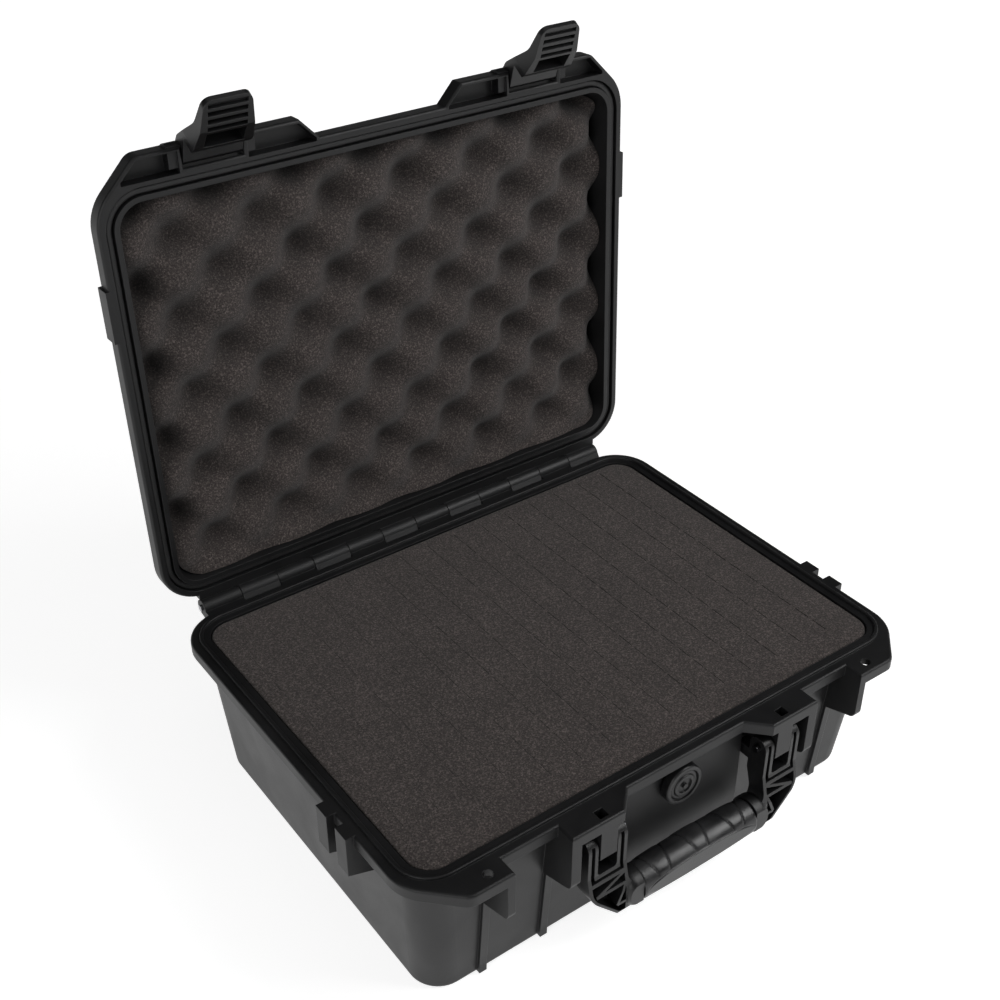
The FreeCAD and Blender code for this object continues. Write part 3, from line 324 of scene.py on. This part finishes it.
def open_cell_foam(name, foam):
    """Open-cell polyurethane foam, sawn from the block. The eye sees a dull charcoal nap of dark
    pores, cell walls that catch the light and faint clouds. Painted shade from an ambient-occlusion
    mask darkens the hollows."""
    made, tree, place = new_finish(name)
    pores = add(tree, "ShaderNodeTexVoronoi", {
        "Vector": place, "Scale": 1 / foam.cell, "Randomness": 1.0})
    nap = add(tree, "ShaderNodeTexNoise", {
        "Vector": place, "Scale": 1 / foam.cell, "Detail": 3.0, "Roughness": 0.75})
    cloud = add(tree, "ShaderNodeTexNoise", {
        "Vector": place, "Scale": 1 / FOAM_CLOUD, "Detail": 3.0})
    deep = add(tree, "ShaderNodeMapRange", {
        "Value": pores.outputs["Distance"], "From Min": 0.55, "From Max": 0.05})
    lit = add(tree, "ShaderNodeMapRange", {
        "Value": nap.outputs["Fac"], "From Min": 0.50, "From Max": 0.74})
    tone = add(tree, "ShaderNodeMix", {
        SHARE: deep.outputs["Result"], FIRST: foam.body, SECOND: foam.pore}, data_type="RGBA")
    speck = add(tree, "ShaderNodeMix", {
        SHARE: lit.outputs["Result"], FIRST: tone.outputs[MIXED], SECOND: foam.strut},
        data_type="RGBA")
    faded = add(tree, "ShaderNodeMapRange", {
        "Value": cloud.outputs["Fac"], "From Min": 0.3, "From Max": 0.7,
        "To Min": 0.9, "To Max": 1.08})
    # Painted shade: an ambient-occlusion mask darkens the foam's colour in its hollows, dimples and
    # slits
    hollow = add(tree, "ShaderNodeAmbientOcclusion", {"Distance": FOAM_PAINTED_SHADE_REACH}, samples=4)
    painted_hollow_shade = add(tree, "ShaderNodeMapRange", {
        "Value": hollow.outputs["AO"], "From Min": 0.35, "From Max": 0.95,
        "To Min": 0.15, "To Max": 1.0})
    clouds_and_painted_shade = add(tree, "ShaderNodeMath", {
        0: faded.outputs["Result"], 1: painted_hollow_shade.outputs["Result"]}, operation="MULTIPLY")
    shaded = add(tree, "ShaderNodeMix", {
        SHARE: 1.0, FIRST: speck.outputs[MIXED], SECOND: clouds_and_painted_shade.outputs["Value"]},
        data_type="RGBA", blend_type="MULTIPLY")
    relief = add(tree, "ShaderNodeBump", {
        "Height": nap.outputs["Fac"], "Strength": 0.7, "Distance": FOAM_NAP})
    shader = add(tree, "ShaderNodeBsdfPrincipled", {
        "Base Color": shaded.outputs[MIXED], "Roughness": 0.95, "IOR": 1.35,
        "Sheen Weight": 0.12, "Sheen Roughness": 0.6, "Normal": relief.outputs["Normal"]})
    add(tree, "ShaderNodeOutputMaterial", {"Surface": shader.outputs["BSDF"]})
    return made


def moulded_rubber(name, base, bloom, rough):
    """Moulded rubber. The eye sees a black skin with a fine pitted grain and a patchy waxy
    bloom, dull on a seal and satin where hands hold it."""
    made, tree, place = new_finish(name)
    pits = add(tree, "ShaderNodeTexVoronoi", {"Vector": place, "Scale": 1 / RUBBER_PIT})
    patch = add(tree, "ShaderNodeTexNoise", {
        "Vector": place, "Scale": 1 / RUBBER_PATCH, "Detail": 4.0})
    share = add(tree, "ShaderNodeMapRange", {
        "Value": patch.outputs["Fac"], "From Min": 0.38, "From Max": 0.66})
    skin = add(tree, "ShaderNodeMix", {
        SHARE: share.outputs["Result"], FIRST: base, SECOND: bloom}, data_type="RGBA")
    dull = add(tree, "ShaderNodeMapRange", {
        "Value": patch.outputs["Fac"], "From Min": 0.3, "From Max": 0.7,
        "To Min": rough - 0.05, "To Max": rough + 0.07})
    relief = add(tree, "ShaderNodeBump", {
        "Height": pits.outputs["Distance"], "Strength": 0.3, "Distance": RUBBER_RELIEF})
    shader = add(tree, "ShaderNodeBsdfPrincipled", {
        "Base Color": skin.outputs[MIXED], "Roughness": dull.outputs["Result"], "IOR": 1.51,
        "Normal": relief.outputs["Normal"]})
    add(tree, "ShaderNodeOutputMaterial", {"Surface": shader.outputs["BSDF"]})
    return made


def drawn_steel(name, base, lines):
    """Drawn steel rod, bare or plated. The eye sees fine lines along it, on a bright grey or
    under a dark skin."""
    made, tree, place = new_finish(name)
    pulled = add(tree, "ShaderNodeMapping", {"Vector": place, "Scale": DRAW_STRETCH})
    drawn = add(tree, "ShaderNodeTexNoise", {
        "Vector": pulled.outputs["Vector"], "Scale": 1 / DRAW_LINE, "Detail": 3.0})
    share = add(tree, "ShaderNodeMapRange", {
        "Value": drawn.outputs["Fac"], "From Min": 0.35, "From Max": 0.65})
    skin = add(tree, "ShaderNodeMix", {
        SHARE: share.outputs["Result"], FIRST: base, SECOND: lines}, data_type="RGBA")
    dull = add(tree, "ShaderNodeMapRange", {
        "Value": drawn.outputs["Fac"], "To Min": 0.22, "To Max": 0.38})
    relief = add(tree, "ShaderNodeBump", {
        "Height": drawn.outputs["Fac"], "Strength": 0.15, "Distance": DRAW_RELIEF})
    shader = add(tree, "ShaderNodeBsdfPrincipled", {
        "Base Color": skin.outputs[MIXED], "Roughness": dull.outputs["Result"],
        "Metallic": 1.0, "Normal": relief.outputs["Normal"]})
    add(tree, "ShaderNodeOutputMaterial", {"Surface": shader.outputs["BSDF"]})
    return made


def woven_membrane(name, threads, gaps):
    """Woven vent membrane. The eye sees a pale cloth of crossed threads."""
    made, tree, place = new_finish(name)
    warp, weft = [add(tree, "ShaderNodeTexWave", {
        "Vector": place, "Scale": 1 / (2 * math.pi * THREAD), "Distortion": 0.4},
        bands_direction=way) for way in ("X", "Z")]
    cloth = add(tree, "ShaderNodeMath", {
        0: warp.outputs["Fac"], 1: weft.outputs["Fac"]}, operation="MULTIPLY")
    skin = add(tree, "ShaderNodeMix", {
        SHARE: cloth.outputs["Value"], FIRST: gaps, SECOND: threads}, data_type="RGBA")
    relief = add(tree, "ShaderNodeBump", {
        "Height": cloth.outputs["Value"], "Strength": 0.4, "Distance": THREAD_RELIEF})
    shader = add(tree, "ShaderNodeBsdfPrincipled", {
        "Base Color": skin.outputs[MIXED], "Roughness": 0.8, "IOR": 1.38,
        "Normal": relief.outputs["Normal"]})
    add(tree, "ShaderNodeOutputMaterial", {"Surface": shader.outputs["BSDF"]})
    return made


def paper_floor(name, tone, lift):
    """Matt white studio paper. It shows almost white behind the case and in its gloss, keeps a
    soft shadow, and runs into the white background."""
    made, tree, place = new_finish(name)
    tooth = add(tree, "ShaderNodeTexNoise", {
        "Vector": place, "Scale": 1 / PAPER_TOOTH, "Detail": 2.0})
    relief = add(tree, "ShaderNodeBump", {
        "Height": tooth.outputs["Fac"], "Strength": 0.02, "Distance": PAPER_RELIEF})
    paper = add(tree, "ShaderNodeBsdfDiffuse", {
        "Color": tone, "Normal": relief.outputs["Normal"]})
    path = add(tree, "ShaderNodeLightPath")
    mirrored = add(tree, "ShaderNodeMath", {
        0: path.outputs["Is Glossy Ray"], 1: path.outputs["Is Transmission Ray"]},
        operation="ADD")
    away = add(tree, "ShaderNodeVectorMath", {0: place}, operation="LENGTH")
    seen = add(tree, "ShaderNodeMapRange", {
        "Value": away.outputs["Value"], "From Min": WHITE_FROM, "From Max": WHITE_AT,
        "To Min": lift, "To Max": 1.0}, interpolation_type="SMOOTHSTEP")
    shown = add(tree, "ShaderNodeMath", {
        0: path.outputs["Is Camera Ray"], 1: seen.outputs["Result"]}, operation="MULTIPLY")
    level = add(tree, "ShaderNodeMath", {
        0: mirrored.outputs["Value"], 1: lift, 2: shown.outputs["Value"]},
        operation="MULTIPLY_ADD")
    glow = add(tree, "ShaderNodeEmission", {"Strength": level.outputs["Value"]})
    both = add(tree, "ShaderNodeAddShader", {
        0: paper.outputs["BSDF"], 1: glow.outputs["Emission"]})
    add(tree, "ShaderNodeOutputMaterial", {"Surface": both.outputs["Shader"]})
    return made


def coat(nodes, finish):
    """Give CAD nodes their finish."""
    for node in nodes:
        shape = frame["nodes"][node]
        if not shape.material_slots:
            shape.data.materials.append(finish)
        for place in shape.material_slots:
            place.material = finish


def make_piece(shape, name, body, node, finish, sharp):
    """Turn a bmesh into a piece that rides on a body and stands for a CAD node. Edges that turn
    by more than sharp degrees stay hard."""
    mesh = bpy.data.meshes.new(name)
    shape.to_mesh(mesh)
    shape.free()
    mesh.shade_smooth()
    mesh.set_sharp_from_angle(angle=math.radians(sharp))
    mesh.materials.append(finish)
    made = bpy.data.objects.new(name, mesh)
    bpy.context.scene.collection.objects.link(made)
    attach(made, body)
    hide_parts(node)
    return made


def rounded_plan(shape, low, high, corner, segments):
    """One flat face with round corners as wide as a box, at its top, in a bmesh."""
    verts = bmesh.ops.create_grid(shape, x_segments=1, y_segments=1, size=0.5)["verts"]
    bmesh.ops.scale(shape, vec=(high.x - low.x, high.y - low.y, 1), verts=verts)
    middle = ((low.x + high.x) / 2, (low.y + high.y) / 2, high.z)
    bmesh.ops.translate(shape, vec=middle, verts=verts)
    bmesh.ops.bevel(shape, geom=verts, offset=corner, segments=segments, profile=0.5,
                    affect="VERTICES", material=-1)


def new_verts(grown):
    """Vertices that an extrusion made."""
    return [part for part in grown["geom"] if isinstance(part, bmesh.types.BMVert)]


def open_edges(shape):
    """Edges of a bmesh with a face on one side only."""
    return [edge for edge in shape.edges if edge.is_boundary]


def cut_faces(shape, faces, point, normal):
    """Cut some faces of a bmesh along a plane."""
    edges = dict.fromkeys(edge for face in faces for edge in face.edges)
    verts = dict.fromkeys(vert for face in faces for vert in face.verts)
    bmesh.ops.bisect_plane(shape, geom=[*faces, *edges, *verts], plane_co=point,
                           plane_no=normal, dist=TOUCHING)


def lid_hinge():
    """Middle of the lid's hinge, and the turn from the closed lid to the open one."""
    hinge = next(joint for joint in frame["joints"] if joint["name"] == "lid_hinge")
    turn = Matrix.Rotation(math.radians(hinge["range_deg"][0]), 3, "X")
    return Vector(hinge["pos_m"]), turn


def swing_open(shape):
    """Turn what is drawn for the closed lid to the open lid's place."""
    centre, turn = lid_hinge()
    bmesh.ops.rotate(shape, cent=centre, matrix=turn, verts=shape.verts)


def closed_box(node):
    """Lowest and highest corner of a lid node when the lid is closed."""
    centre, turn = lid_hinge()
    back = turn.transposed()
    points = [back @ (vert.co - centre) + centre for vert in frame["nodes"][node].data.vertices]
    low = Vector([min(point[i] for point in points) for i in range(3)])
    high = Vector([max(point[i] for point in points) for i in range(3)])
    return low, high


class CASE_OT_shells(bpy.types.Operator):
    """Finish the base and lid shells in moulded polypropylene"""

    bl_idname = "case.shells"
    bl_label = "Finish shells"

    def execute(self, context):
        looks = context.scene.case_finish
        shell = moulded_plastic("moulded polypropylene", looks.shell, looks.shell_flow,
                                looks.worn, looks.shell_grain, looks.edge, rough=0.46, ior=1.49)
        coat(["base_shell", "lid_shell"], shell)
        return {"FINISHED"}


class CASE_OT_fittings(bpy.types.Operator):
    """Finish the latches, handle frame, valve and pins"""

    bl_idname = "case.fittings"
    bl_label = "Finish fittings"

    def execute(self, context):
        looks = context.scene.case_finish
        nylon = moulded_plastic("moulded nylon", looks.fitting, looks.fitting_flow, looks.worn,
                                looks.fitting_grain, looks.edge, rough=0.40, ior=1.53)
        coat(["latch_left", "latch_right", "handle_frame"], nylon)
        knob = moulded_plastic("moulded ABS", looks.fitting, looks.shell_flow, looks.worn,
                               looks.fitting_grain, looks.edge, rough=0.36, ior=1.54)
        coat(["valve_knob", "valve_body", "valve_nut"], knob)
        steel = drawn_steel("drawn stainless steel", looks.steel, looks.steel_drawn)
        coat(["hinge_pin"], steel)
        plated = drawn_steel("black-plated steel", looks.plated, looks.plated_drawn)
        coat(["latch_pin_left", "latch_pin_right", "handle_pin_left", "handle_pin_right"], plated)
        seal = moulded_rubber("nitrile rubber", looks.rubber, looks.rubber_bloom, rough=0.6)
        coat(["valve_seal"], seal)
        vent = woven_membrane("woven membrane", looks.membrane, looks.membrane_gap)
        coat(["valve_vent_disc"], vent)
        return {"FINISHED"}


class CASE_OT_gasket(bpy.types.Operator):
    """Lay the rubber gasket in the lid's groove"""

    bl_idname = "case.gasket"
    bl_label = "Gasket"

    def execute(self, context):
        looks = context.scene.case_finish
        gasket = context.scene.case_gasket
        low, high = closed_box("lid_gasket")
        shape = bmesh.new()
        rounded_plan(shape, low, high, gasket.corner, segments=16)
        inner = list(shape.faces)
        bmesh.ops.inset_region(shape, faces=inner, thickness=gasket.width,
                               use_even_offset=True, use_boundary=True)
        bmesh.ops.delete(shape, geom=inner, context="FACES_ONLY")
        crown = new_verts(bmesh.ops.extrude_face_region(shape, geom=list(shape.faces)))
        bmesh.ops.translate(shape, vec=(0, 0, low.z - high.z), verts=crown)
        # Round the sealing face's two outlines, not the lines across it
        flat = [edge for edge in shape.edges
                if all(abs(end.co.z - low.z) < TOUCHING for end in edge.verts)]
        rims = [edge for edge in flat if edge.calc_face_angle(0) > OUTLINE_TURN]
        bmesh.ops.bevel(shape, geom=rims, offset=gasket.rounding, segments=4, profile=0.5,
                        affect="EDGES", material=-1)
        bmesh.ops.recalc_face_normals(shape, faces=shape.faces)
        swing_open(shape)
        rubber = moulded_rubber("sealing rubber", looks.rubber, looks.rubber_bloom, rough=0.62)
        make_piece(shape, "lid_gasket_ring", "lid", "lid_gasket", rubber, sharp=40)
        return {"FINISHED"}


def round_corner(x, y, half_x, half_y, corner):
    """Draw a place near a rectangle's corner in, so that the corner is round."""
    over_x = abs(x) - (half_x - corner)
    over_y = abs(y) - (half_y - corner)
    if over_x > 0 and over_y > 0:
        pull = max(over_x, over_y) / math.hypot(over_x, over_y)
        x = math.copysign(half_x - corner + over_x * pull, x)
        y = math.copysign(half_y - corner + over_y * pull, y)
    return x, y


def crate_depth(foam, x, y, half_y):
    """How far the egg-crate's face lies below its highest crests."""
    drift = noise.noise_vector(Vector((x, y, 0)) / foam.stray_span) * foam.stray
    swell = 1 + foam.swell * noise.noise(Vector((x, y, SWELL_SLICE)) / foam.swell_span)
    along = math.cos(math.pi * (x + drift.x - foam.valley_x) / foam.crest_step_x)
    across = math.cos(math.pi * (y + drift.y - foam.valley_y) / foam.crest_step_y)
    sunk = foam.valley_depth * swell * (0.5 + 0.5 * along * across) ** VALLEY_POWER
    pressed = min(1.0, max(0.0, (y - half_y) / foam.hem + 1.0)) ** 2
    return (foam.recess + sunk) * (1 - HEM_PRESS * pressed)


class CASE_OT_lid_foam(bpy.types.Operator):
    """Make the lid's egg-crate foam"""

    bl_idname = "case.lid_foam"
    bl_label = "Lid foam"

    def execute(self, context):
        foam = context.scene.case_foam
        low, high = closed_box("lid_foam")
        half_x = high.x
        half_y = (high.y - low.y) / 2
        middle_y = (high.y + low.y) / 2
        noise.seed_set(STRAY_SEED)
        shape = bmesh.new()
        bmesh.ops.create_grid(shape, x_segments=CRATE_FACES_X, y_segments=CRATE_FACES_Y, size=1.0)
        for vert in shape.verts:
            rim = max(abs(vert.co.x), abs(vert.co.y)) ** RIM_POWER
            x, y = round_corner(vert.co.x * half_x, vert.co.y * half_y, half_x, half_y,
                                foam.lid_corner)
            deep = crate_depth(foam, x, y, half_y)
            # The lid's walls lean in, so the foam's rim is narrower where its face lies deeper
            lean = rim * foam.lid_draft * deep / foam.lid_depth
            vert.co = (x * (1 - lean / half_x), y * (1 - lean / half_y) + middle_y, low.z + deep)
        for vert in new_verts(bmesh.ops.extrude_edge_only(shape, edges=open_edges(shape))):
            lean = foam.lid_draft * (high.z - vert.co.z) / foam.lid_depth
            vert.co.x *= 1 - lean / half_x
            vert.co.y = middle_y + (vert.co.y - middle_y) * (1 - lean / half_y)
            vert.co.z = high.z
        bmesh.ops.holes_fill(shape, edges=open_edges(shape), sides=0)
        bmesh.ops.recalc_face_normals(shape, faces=shape.faces)
        swing_open(shape)
        finish = open_cell_foam("egg-crate polyurethane foam", foam)
        made = make_piece(shape, "lid_foam_sheet", "lid", "lid_foam", finish, sharp=55)
        return {"FINISHED"}


def cut_slits(shape, foam, high):
    """Cut rows of short slits into a foam block's top, along which small blocks tear out."""
    level = high.z - TOP_BAND
    rows = int(high.x / foam.slit_row)
    slits = int(2 * high.y / foam.slit_pitch)
    planes = []
    spans = []
    for i in range(-rows - 1, rows + 1):
        x = foam.slit_first + i * foam.slit_row
        if abs(x) > high.x - foam.corner / 2:
            continue
        part = 0.5 + 0.5 * x / high.x
        half = foam.slit_width * (SLIT_LEFT + (1 - SLIT_LEFT) * part) / 2
        for side in (x - half, x + half):
            planes.append((Vector((side, 0, 0)), Vector((1, 0, 0))))
        spans.append((x, half))
    middles = []
    for i in range(-slits, slits + 1):
        y = foam.slit_middle + i * foam.slit_pitch
        if abs(y) > high.y - foam.slit_length:
            continue
        for end in (y - foam.slit_length / 2, y + foam.slit_length / 2):
            planes.append((Vector((0, end, 0)), Vector((0, 1, 0))))
        middles.append(y)
    for point, normal in planes:
        top = [face for face in shape.faces if all(vert.co.z > level for vert in face.verts)]
        cut_faces(shape, top, point, normal)
    lips = []
    for face in shape.faces:
        place = face.calc_center_median()
        if place.z < level:
            continue
        in_row = any(abs(place.x - x) < half for x, half in spans)
        if in_row and any(abs(place.y - y) < foam.slit_length / 2 for y in middles):
            lips.append(face)
    sunk = bmesh.ops.extrude_discrete_faces(shape, faces=lips)["faces"]
    floors = [vert for face in sunk for vert in face.verts]
    bmesh.ops.translate(shape, vec=(0, 0, -foam.slit_depth), verts=floors)


def cut_relief(shape, foam):
    """Cut a square pocket into a foam block's front, behind the valve's nut."""
    low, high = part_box("valve_nut")
    middle = (low + high) / 2
    for normal in (Vector((1, 0, 0)), Vector((0, 0, 1))):
        for side in (-1, 1):
            front = [face for face in shape.faces if face.normal.y < FACING_FRONT]
            cut_faces(shape, front, middle + side * foam.relief * normal, normal)
            shape.normal_update()
    pocket = [face for face in shape.faces if face.normal.y < FACING_FRONT
              and abs(face.calc_center_median().x - middle.x) < foam.relief
              and abs(face.calc_center_median().z - middle.z) < foam.relief]
    for face in bmesh.ops.extrude_discrete_faces(shape, faces=pocket)["faces"]:
        for vert in face.verts:
            vert.co.y = foam.relief_back


class CASE_OT_base_foam(bpy.types.Operator):
    """Make the base's pick-and-pluck block and the pad under it"""

    bl_idname = "case.base_foam"
    bl_label = "Base foam"

    def execute(self, context):
        foam = context.scene.case_foam
        finish = open_cell_foam("sawn polyurethane foam", foam)
        for node, name in (("base_foam_pad", "base_foam_sheet"), ("base_foam", "base_foam_block")):
            low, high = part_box(node)
            shape = bmesh.new()
            rounded_plan(shape, low, high, foam.corner, segments=10)
            lean = (high.z - low.z) / foam.base_height
            for vert in new_verts(bmesh.ops.extrude_face_region(shape, geom=list(shape.faces))):
                vert.co.z = low.z
                vert.co.x -= math.copysign(foam.base_draft * lean, vert.co.x)
                vert.co.y -= foam.back_draft * lean if vert.co.y > 0 else -foam.base_draft * lean
            bmesh.ops.recalc_face_normals(shape, faces=shape.faces)
            rims = [edge for edge in shape.edges
                    if abs(edge.verts[0].co.z - edge.verts[1].co.z) < TOUCHING]
            bmesh.ops.bevel(shape, geom=rims, offset=foam.edge, segments=3, profile=0.5,
                            affect="EDGES", material=-1)
            if node == "base_foam":
                cut_slits(shape, foam, high)
                cut_relief(shape, foam)
            made = make_piece(shape, name, "base", node, finish, sharp=50)
        return {"FINISHED"}


def blend(low, high, past, steep):
    """Smooth step from low to high where past goes from below zero to above it."""
    return (low + high) / 2 + (high - low) / 2 * math.tanh(steep * past)


def grip_radius(grip, x, angle, reach, radius):
    """The grip's radius at a place along it and an angle round it: a barrel that thins to its
    ends, finger ridges with grooves beside them on the upper side, and a flat front panel."""
    share = (x / reach) ** 2
    taper = blend(UNDER_TAPER, 1.0, angle - UNDER_FROM, UNDER_STEEP)
    out = radius - grip.ridge - grip.waist * taper * share
    out -= grip.rim * max(0.0, (abs(x) - reach + 2 * grip.rim) / (2 * grip.rim)) ** 2
    upper = blend(0.0, 1.0, angle - UPPER_FROM, UPPER_STEEP)
    spacing = 2 * reach / RIDGES
    half = RIDGE_SHARE * spacing + RIDGE_LEAN * (angle - RIDGE_LEVEL)
    for k in range(RIDGES):
        middle = (k - (RIDGES - 1) / 2) * spacing
        inside = max(0.0, 1 - ((x - middle) / half) ** 2)
        out += grip.ridge * upper * inside ** 0.5
        for side in (-1, 1):
            away = (x - middle - side * half) / grip.groove_width
            out -= grip.groove * upper * math.exp(-away ** 2)
    barrel = radius - grip.ridge - grip.waist * share
    panel = grip.panel + grip.panel_rise * share
    turned = angle - PANEL_FACING
    if panel < barrel and abs(turned) < PANEL_SPAN:
        out = min(out, panel / math.cos(turned))
        away = barrel * (turned - math.acos(panel / barrel)) / grip.lip
        out -= grip.lip_depth * (1 - share ** 3) * math.exp(-away ** 2)
    return out


def bore_grip(shape, grip, axis):
    """Open a grip's ends and bore it for the flat-sided bar, as its solid is bored."""
    solid = [vert.co - axis for vert in frame["nodes"]["handle_grip"].data.vertices]
    # The bore's sides are flat, so the vertices nearest to the axis are its corners
    corner = min(solid, key=lambda place: math.hypot(place.y, place.z))
    bore_y = abs(corner.y) + grip.bar_gap
    bore_z = abs(corner.z) + grip.bar_gap
    ends = [face for face in shape.faces if len(face.verts) > 4]
    bmesh.ops.delete(shape, geom=ends, context="FACES_ONLY")
    for vert in new_verts(bmesh.ops.extrude_edge_only(shape, edges=open_edges(shape))):
        angle = math.atan2(vert.co.z - axis.z, axis.y - vert.co.y)
        bore = 1 / max(abs(math.cos(angle)) / bore_y, abs(math.sin(angle)) / bore_z)
        vert.co.y = axis.y - bore * math.cos(angle)
        vert.co.z = axis.z + bore * math.sin(angle)
    bmesh.ops.bridge_loops(shape, edges=open_edges(shape))


class CASE_OT_grip(bpy.types.Operator):
    """Make the soft grip on the handle's bar"""

    bl_idname = "case.grip"
    bl_label = "Handle grip"

    def execute(self, context):
        grip = context.scene.case_grip
        low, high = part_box("handle_grip")
        radius = (high.z - low.z) / 2
        reach = (high.x - low.x) / 2
        axis = Vector(((low.x + high.x) / 2, high.y - radius, (low.z + high.z) / 2))
        shape = bmesh.new()
        bmesh.ops.create_cone(shape, cap_ends=True, cap_tris=False, segments=GRIP_FACES,
                              radius1=1, radius2=1, depth=2)
        # Cut the edges that run from end to end, and lay the barrel along the bar
        long = [edge for edge in shape.edges
                if abs(edge.verts[0].co.z - edge.verts[1].co.z) > 1]
        bmesh.ops.subdivide_edges(shape, edges=long, cuts=GRIP_CUTS, use_grid_fill=True)
        bmesh.ops.rotate(shape, cent=(0, 0, 0), matrix=Matrix.Rotation(math.pi / 2, 3, "Y"),
                         verts=shape.verts)
        for vert in shape.verts:
            x = vert.co.x * reach
            angle = math.atan2(vert.co.z, -vert.co.y)
            out = grip_radius(grip, x, angle, reach, radius)
            vert.co = axis + Vector((x, -out * math.cos(angle), out * math.sin(angle)))
        bore_grip(shape, grip, axis)
        bmesh.ops.recalc_face_normals(shape, faces=shape.faces)
        rubber = moulded_rubber("thermoplastic rubber", grip.body, grip.bloom, rough=0.34)
        make_piece(shape, "handle_grip_sleeve", "handle", "handle_grip", rubber, sharp=35)
        return {"FINISHED"}


def studio_world():
    """World that is pale round the horizon and dim above, as in a cove with a dark ceiling, but
    white to the camera."""
    world = bpy.data.worlds.new("studio")
    world.use_nodes = True
    tree = world.node_tree
    tree.nodes.clear()
    place = add(tree, "ShaderNodeTexCoord").outputs["Generated"]
    parts = add(tree, "ShaderNodeSeparateXYZ", {"Vector": place})
    level = add(tree, "ShaderNodeMapRange", {
        "Value": parts.outputs["Z"], "From Min": WALL_TOP, "From Max": CEILING,
        "To Min": WALL_LIGHT, "To Max": CEILING_LIGHT}, interpolation_type="SMOOTHSTEP")
    seen = add(tree, "ShaderNodeLightPath").outputs["Is Camera Ray"]
    shown = add(tree, "ShaderNodeMath", {
        0: level.outputs["Result"], 1: seen}, operation="MAXIMUM")
    sky = add(tree, "ShaderNodeBackground", {
        "Color": (1, 1, 1, 1), "Strength": shown.outputs["Value"]})
    add(tree, "ShaderNodeOutputWorld", {"Surface": sky.outputs["Background"]})
    return world


class CASE_OT_stage(bpy.types.Operator):
    """Set the floor, lamps, world and camera"""

    bl_idname = "case.stage"
    bl_label = "Studio"

    def execute(self, context):
        scene = context.scene
        stage = scene.case_stage
        shape = bmesh.new()
        bmesh.ops.create_grid(shape, x_segments=2, y_segments=2, size=stage.floor_size)
        mesh = bpy.data.meshes.new("studio_floor")
        shape.to_mesh(mesh)
        shape.free()
        mesh.materials.append(paper_floor("studio paper", stage.floor, stage.lift))
        floor = bpy.data.objects.new("studio_floor", mesh)
        scene.collection.objects.link(floor)
        for name, power, place, size in LAMPS:
            light = bpy.data.lights.new(name, "AREA")
            light.shape = "SQUARE"
            light.size = size
            light.energy = getattr(stage, power)
            lamp = bpy.data.objects.new(name, light)
            lamp.location = place
            back = Vector(place) - Vector(LAMP_AIM)
            lamp.rotation_euler = back.to_track_quat("Z", "Y").to_euler()
            lamp.visible_camera = False
            scene.collection.objects.link(lamp)
        scene.world = studio_world()
        lens = bpy.data.cameras.new("photo_camera")
        lens.lens = stage.focal
        lens.sensor_width = 36.0
        lens.clip_start = 0.01
        camera = bpy.data.objects.new("photo_camera", lens)
        level = math.cos(stage.elevation)
        back = Vector((math.sin(stage.azimuth) * level, -math.cos(stage.azimuth) * level,
                       math.sin(stage.elevation)))
        turn = back.to_track_quat("Z", "Y").to_matrix() @ Matrix.Rotation(stage.roll, 3, "Z")
        camera.matrix_world = Matrix.Translation(stage.eye) @ turn.to_4x4()
        scene.collection.objects.link(camera)
        scene.camera = camera
        scene.view_settings.view_transform = "Standard"
        return {"FINISHED"}


class CASE_PT_build(bpy.types.Panel):
    """Lists the steps that dress the case, with their sizes and colours"""

    bl_idname = "CASE_PT_build"
    bl_label = "Carrying case"
    bl_space_type = "VIEW_3D"
    bl_region_type = "UI"
    bl_category = "Carrying case"

    def draw(self, context):
        column = self.layout.column()
        for step in OPERATORS:
            column.operator(step.bl_idname)
        for group in GROUPS:
            values = getattr(context.scene, group)
            box = self.layout.box()
            for name in values.__annotations__:
                box.prop(values, name)


OPERATORS = (CASE_OT_shells, CASE_OT_fittings, CASE_OT_gasket, CASE_OT_lid_foam,
             CASE_OT_base_foam, CASE_OT_grip, CASE_OT_stage)
GROUPS = {"case_foam": CaseFoam, "case_grip": CaseGrip, "case_gasket": CaseGasket,
          "case_finish": CaseFinish, "case_stage": CaseStage}


def register():
    for kind in (*GROUPS.values(), *OPERATORS, CASE_PT_build):
        bpy.utils.register_class(kind)
    for name, kind in GROUPS.items():
        setattr(bpy.types.Scene, name, PointerProperty(type=kind))


def unregister():
    for name in GROUPS:
        delattr(bpy.types.Scene, name)
    for kind in (CASE_PT_build, *reversed(OPERATORS), *reversed(list(GROUPS.values()))):
        bpy.utils.unregister_class(kind)


def main():
    register()
    bpy.ops.case.shells()
    bpy.ops.case.fittings()
    bpy.ops.case.gasket()
    bpy.ops.case.lid_foam()
    bpy.ops.case.base_foam()
    bpy.ops.case.grip()
    bpy.ops.case.stage()


if __name__ == "__main__":
    main()
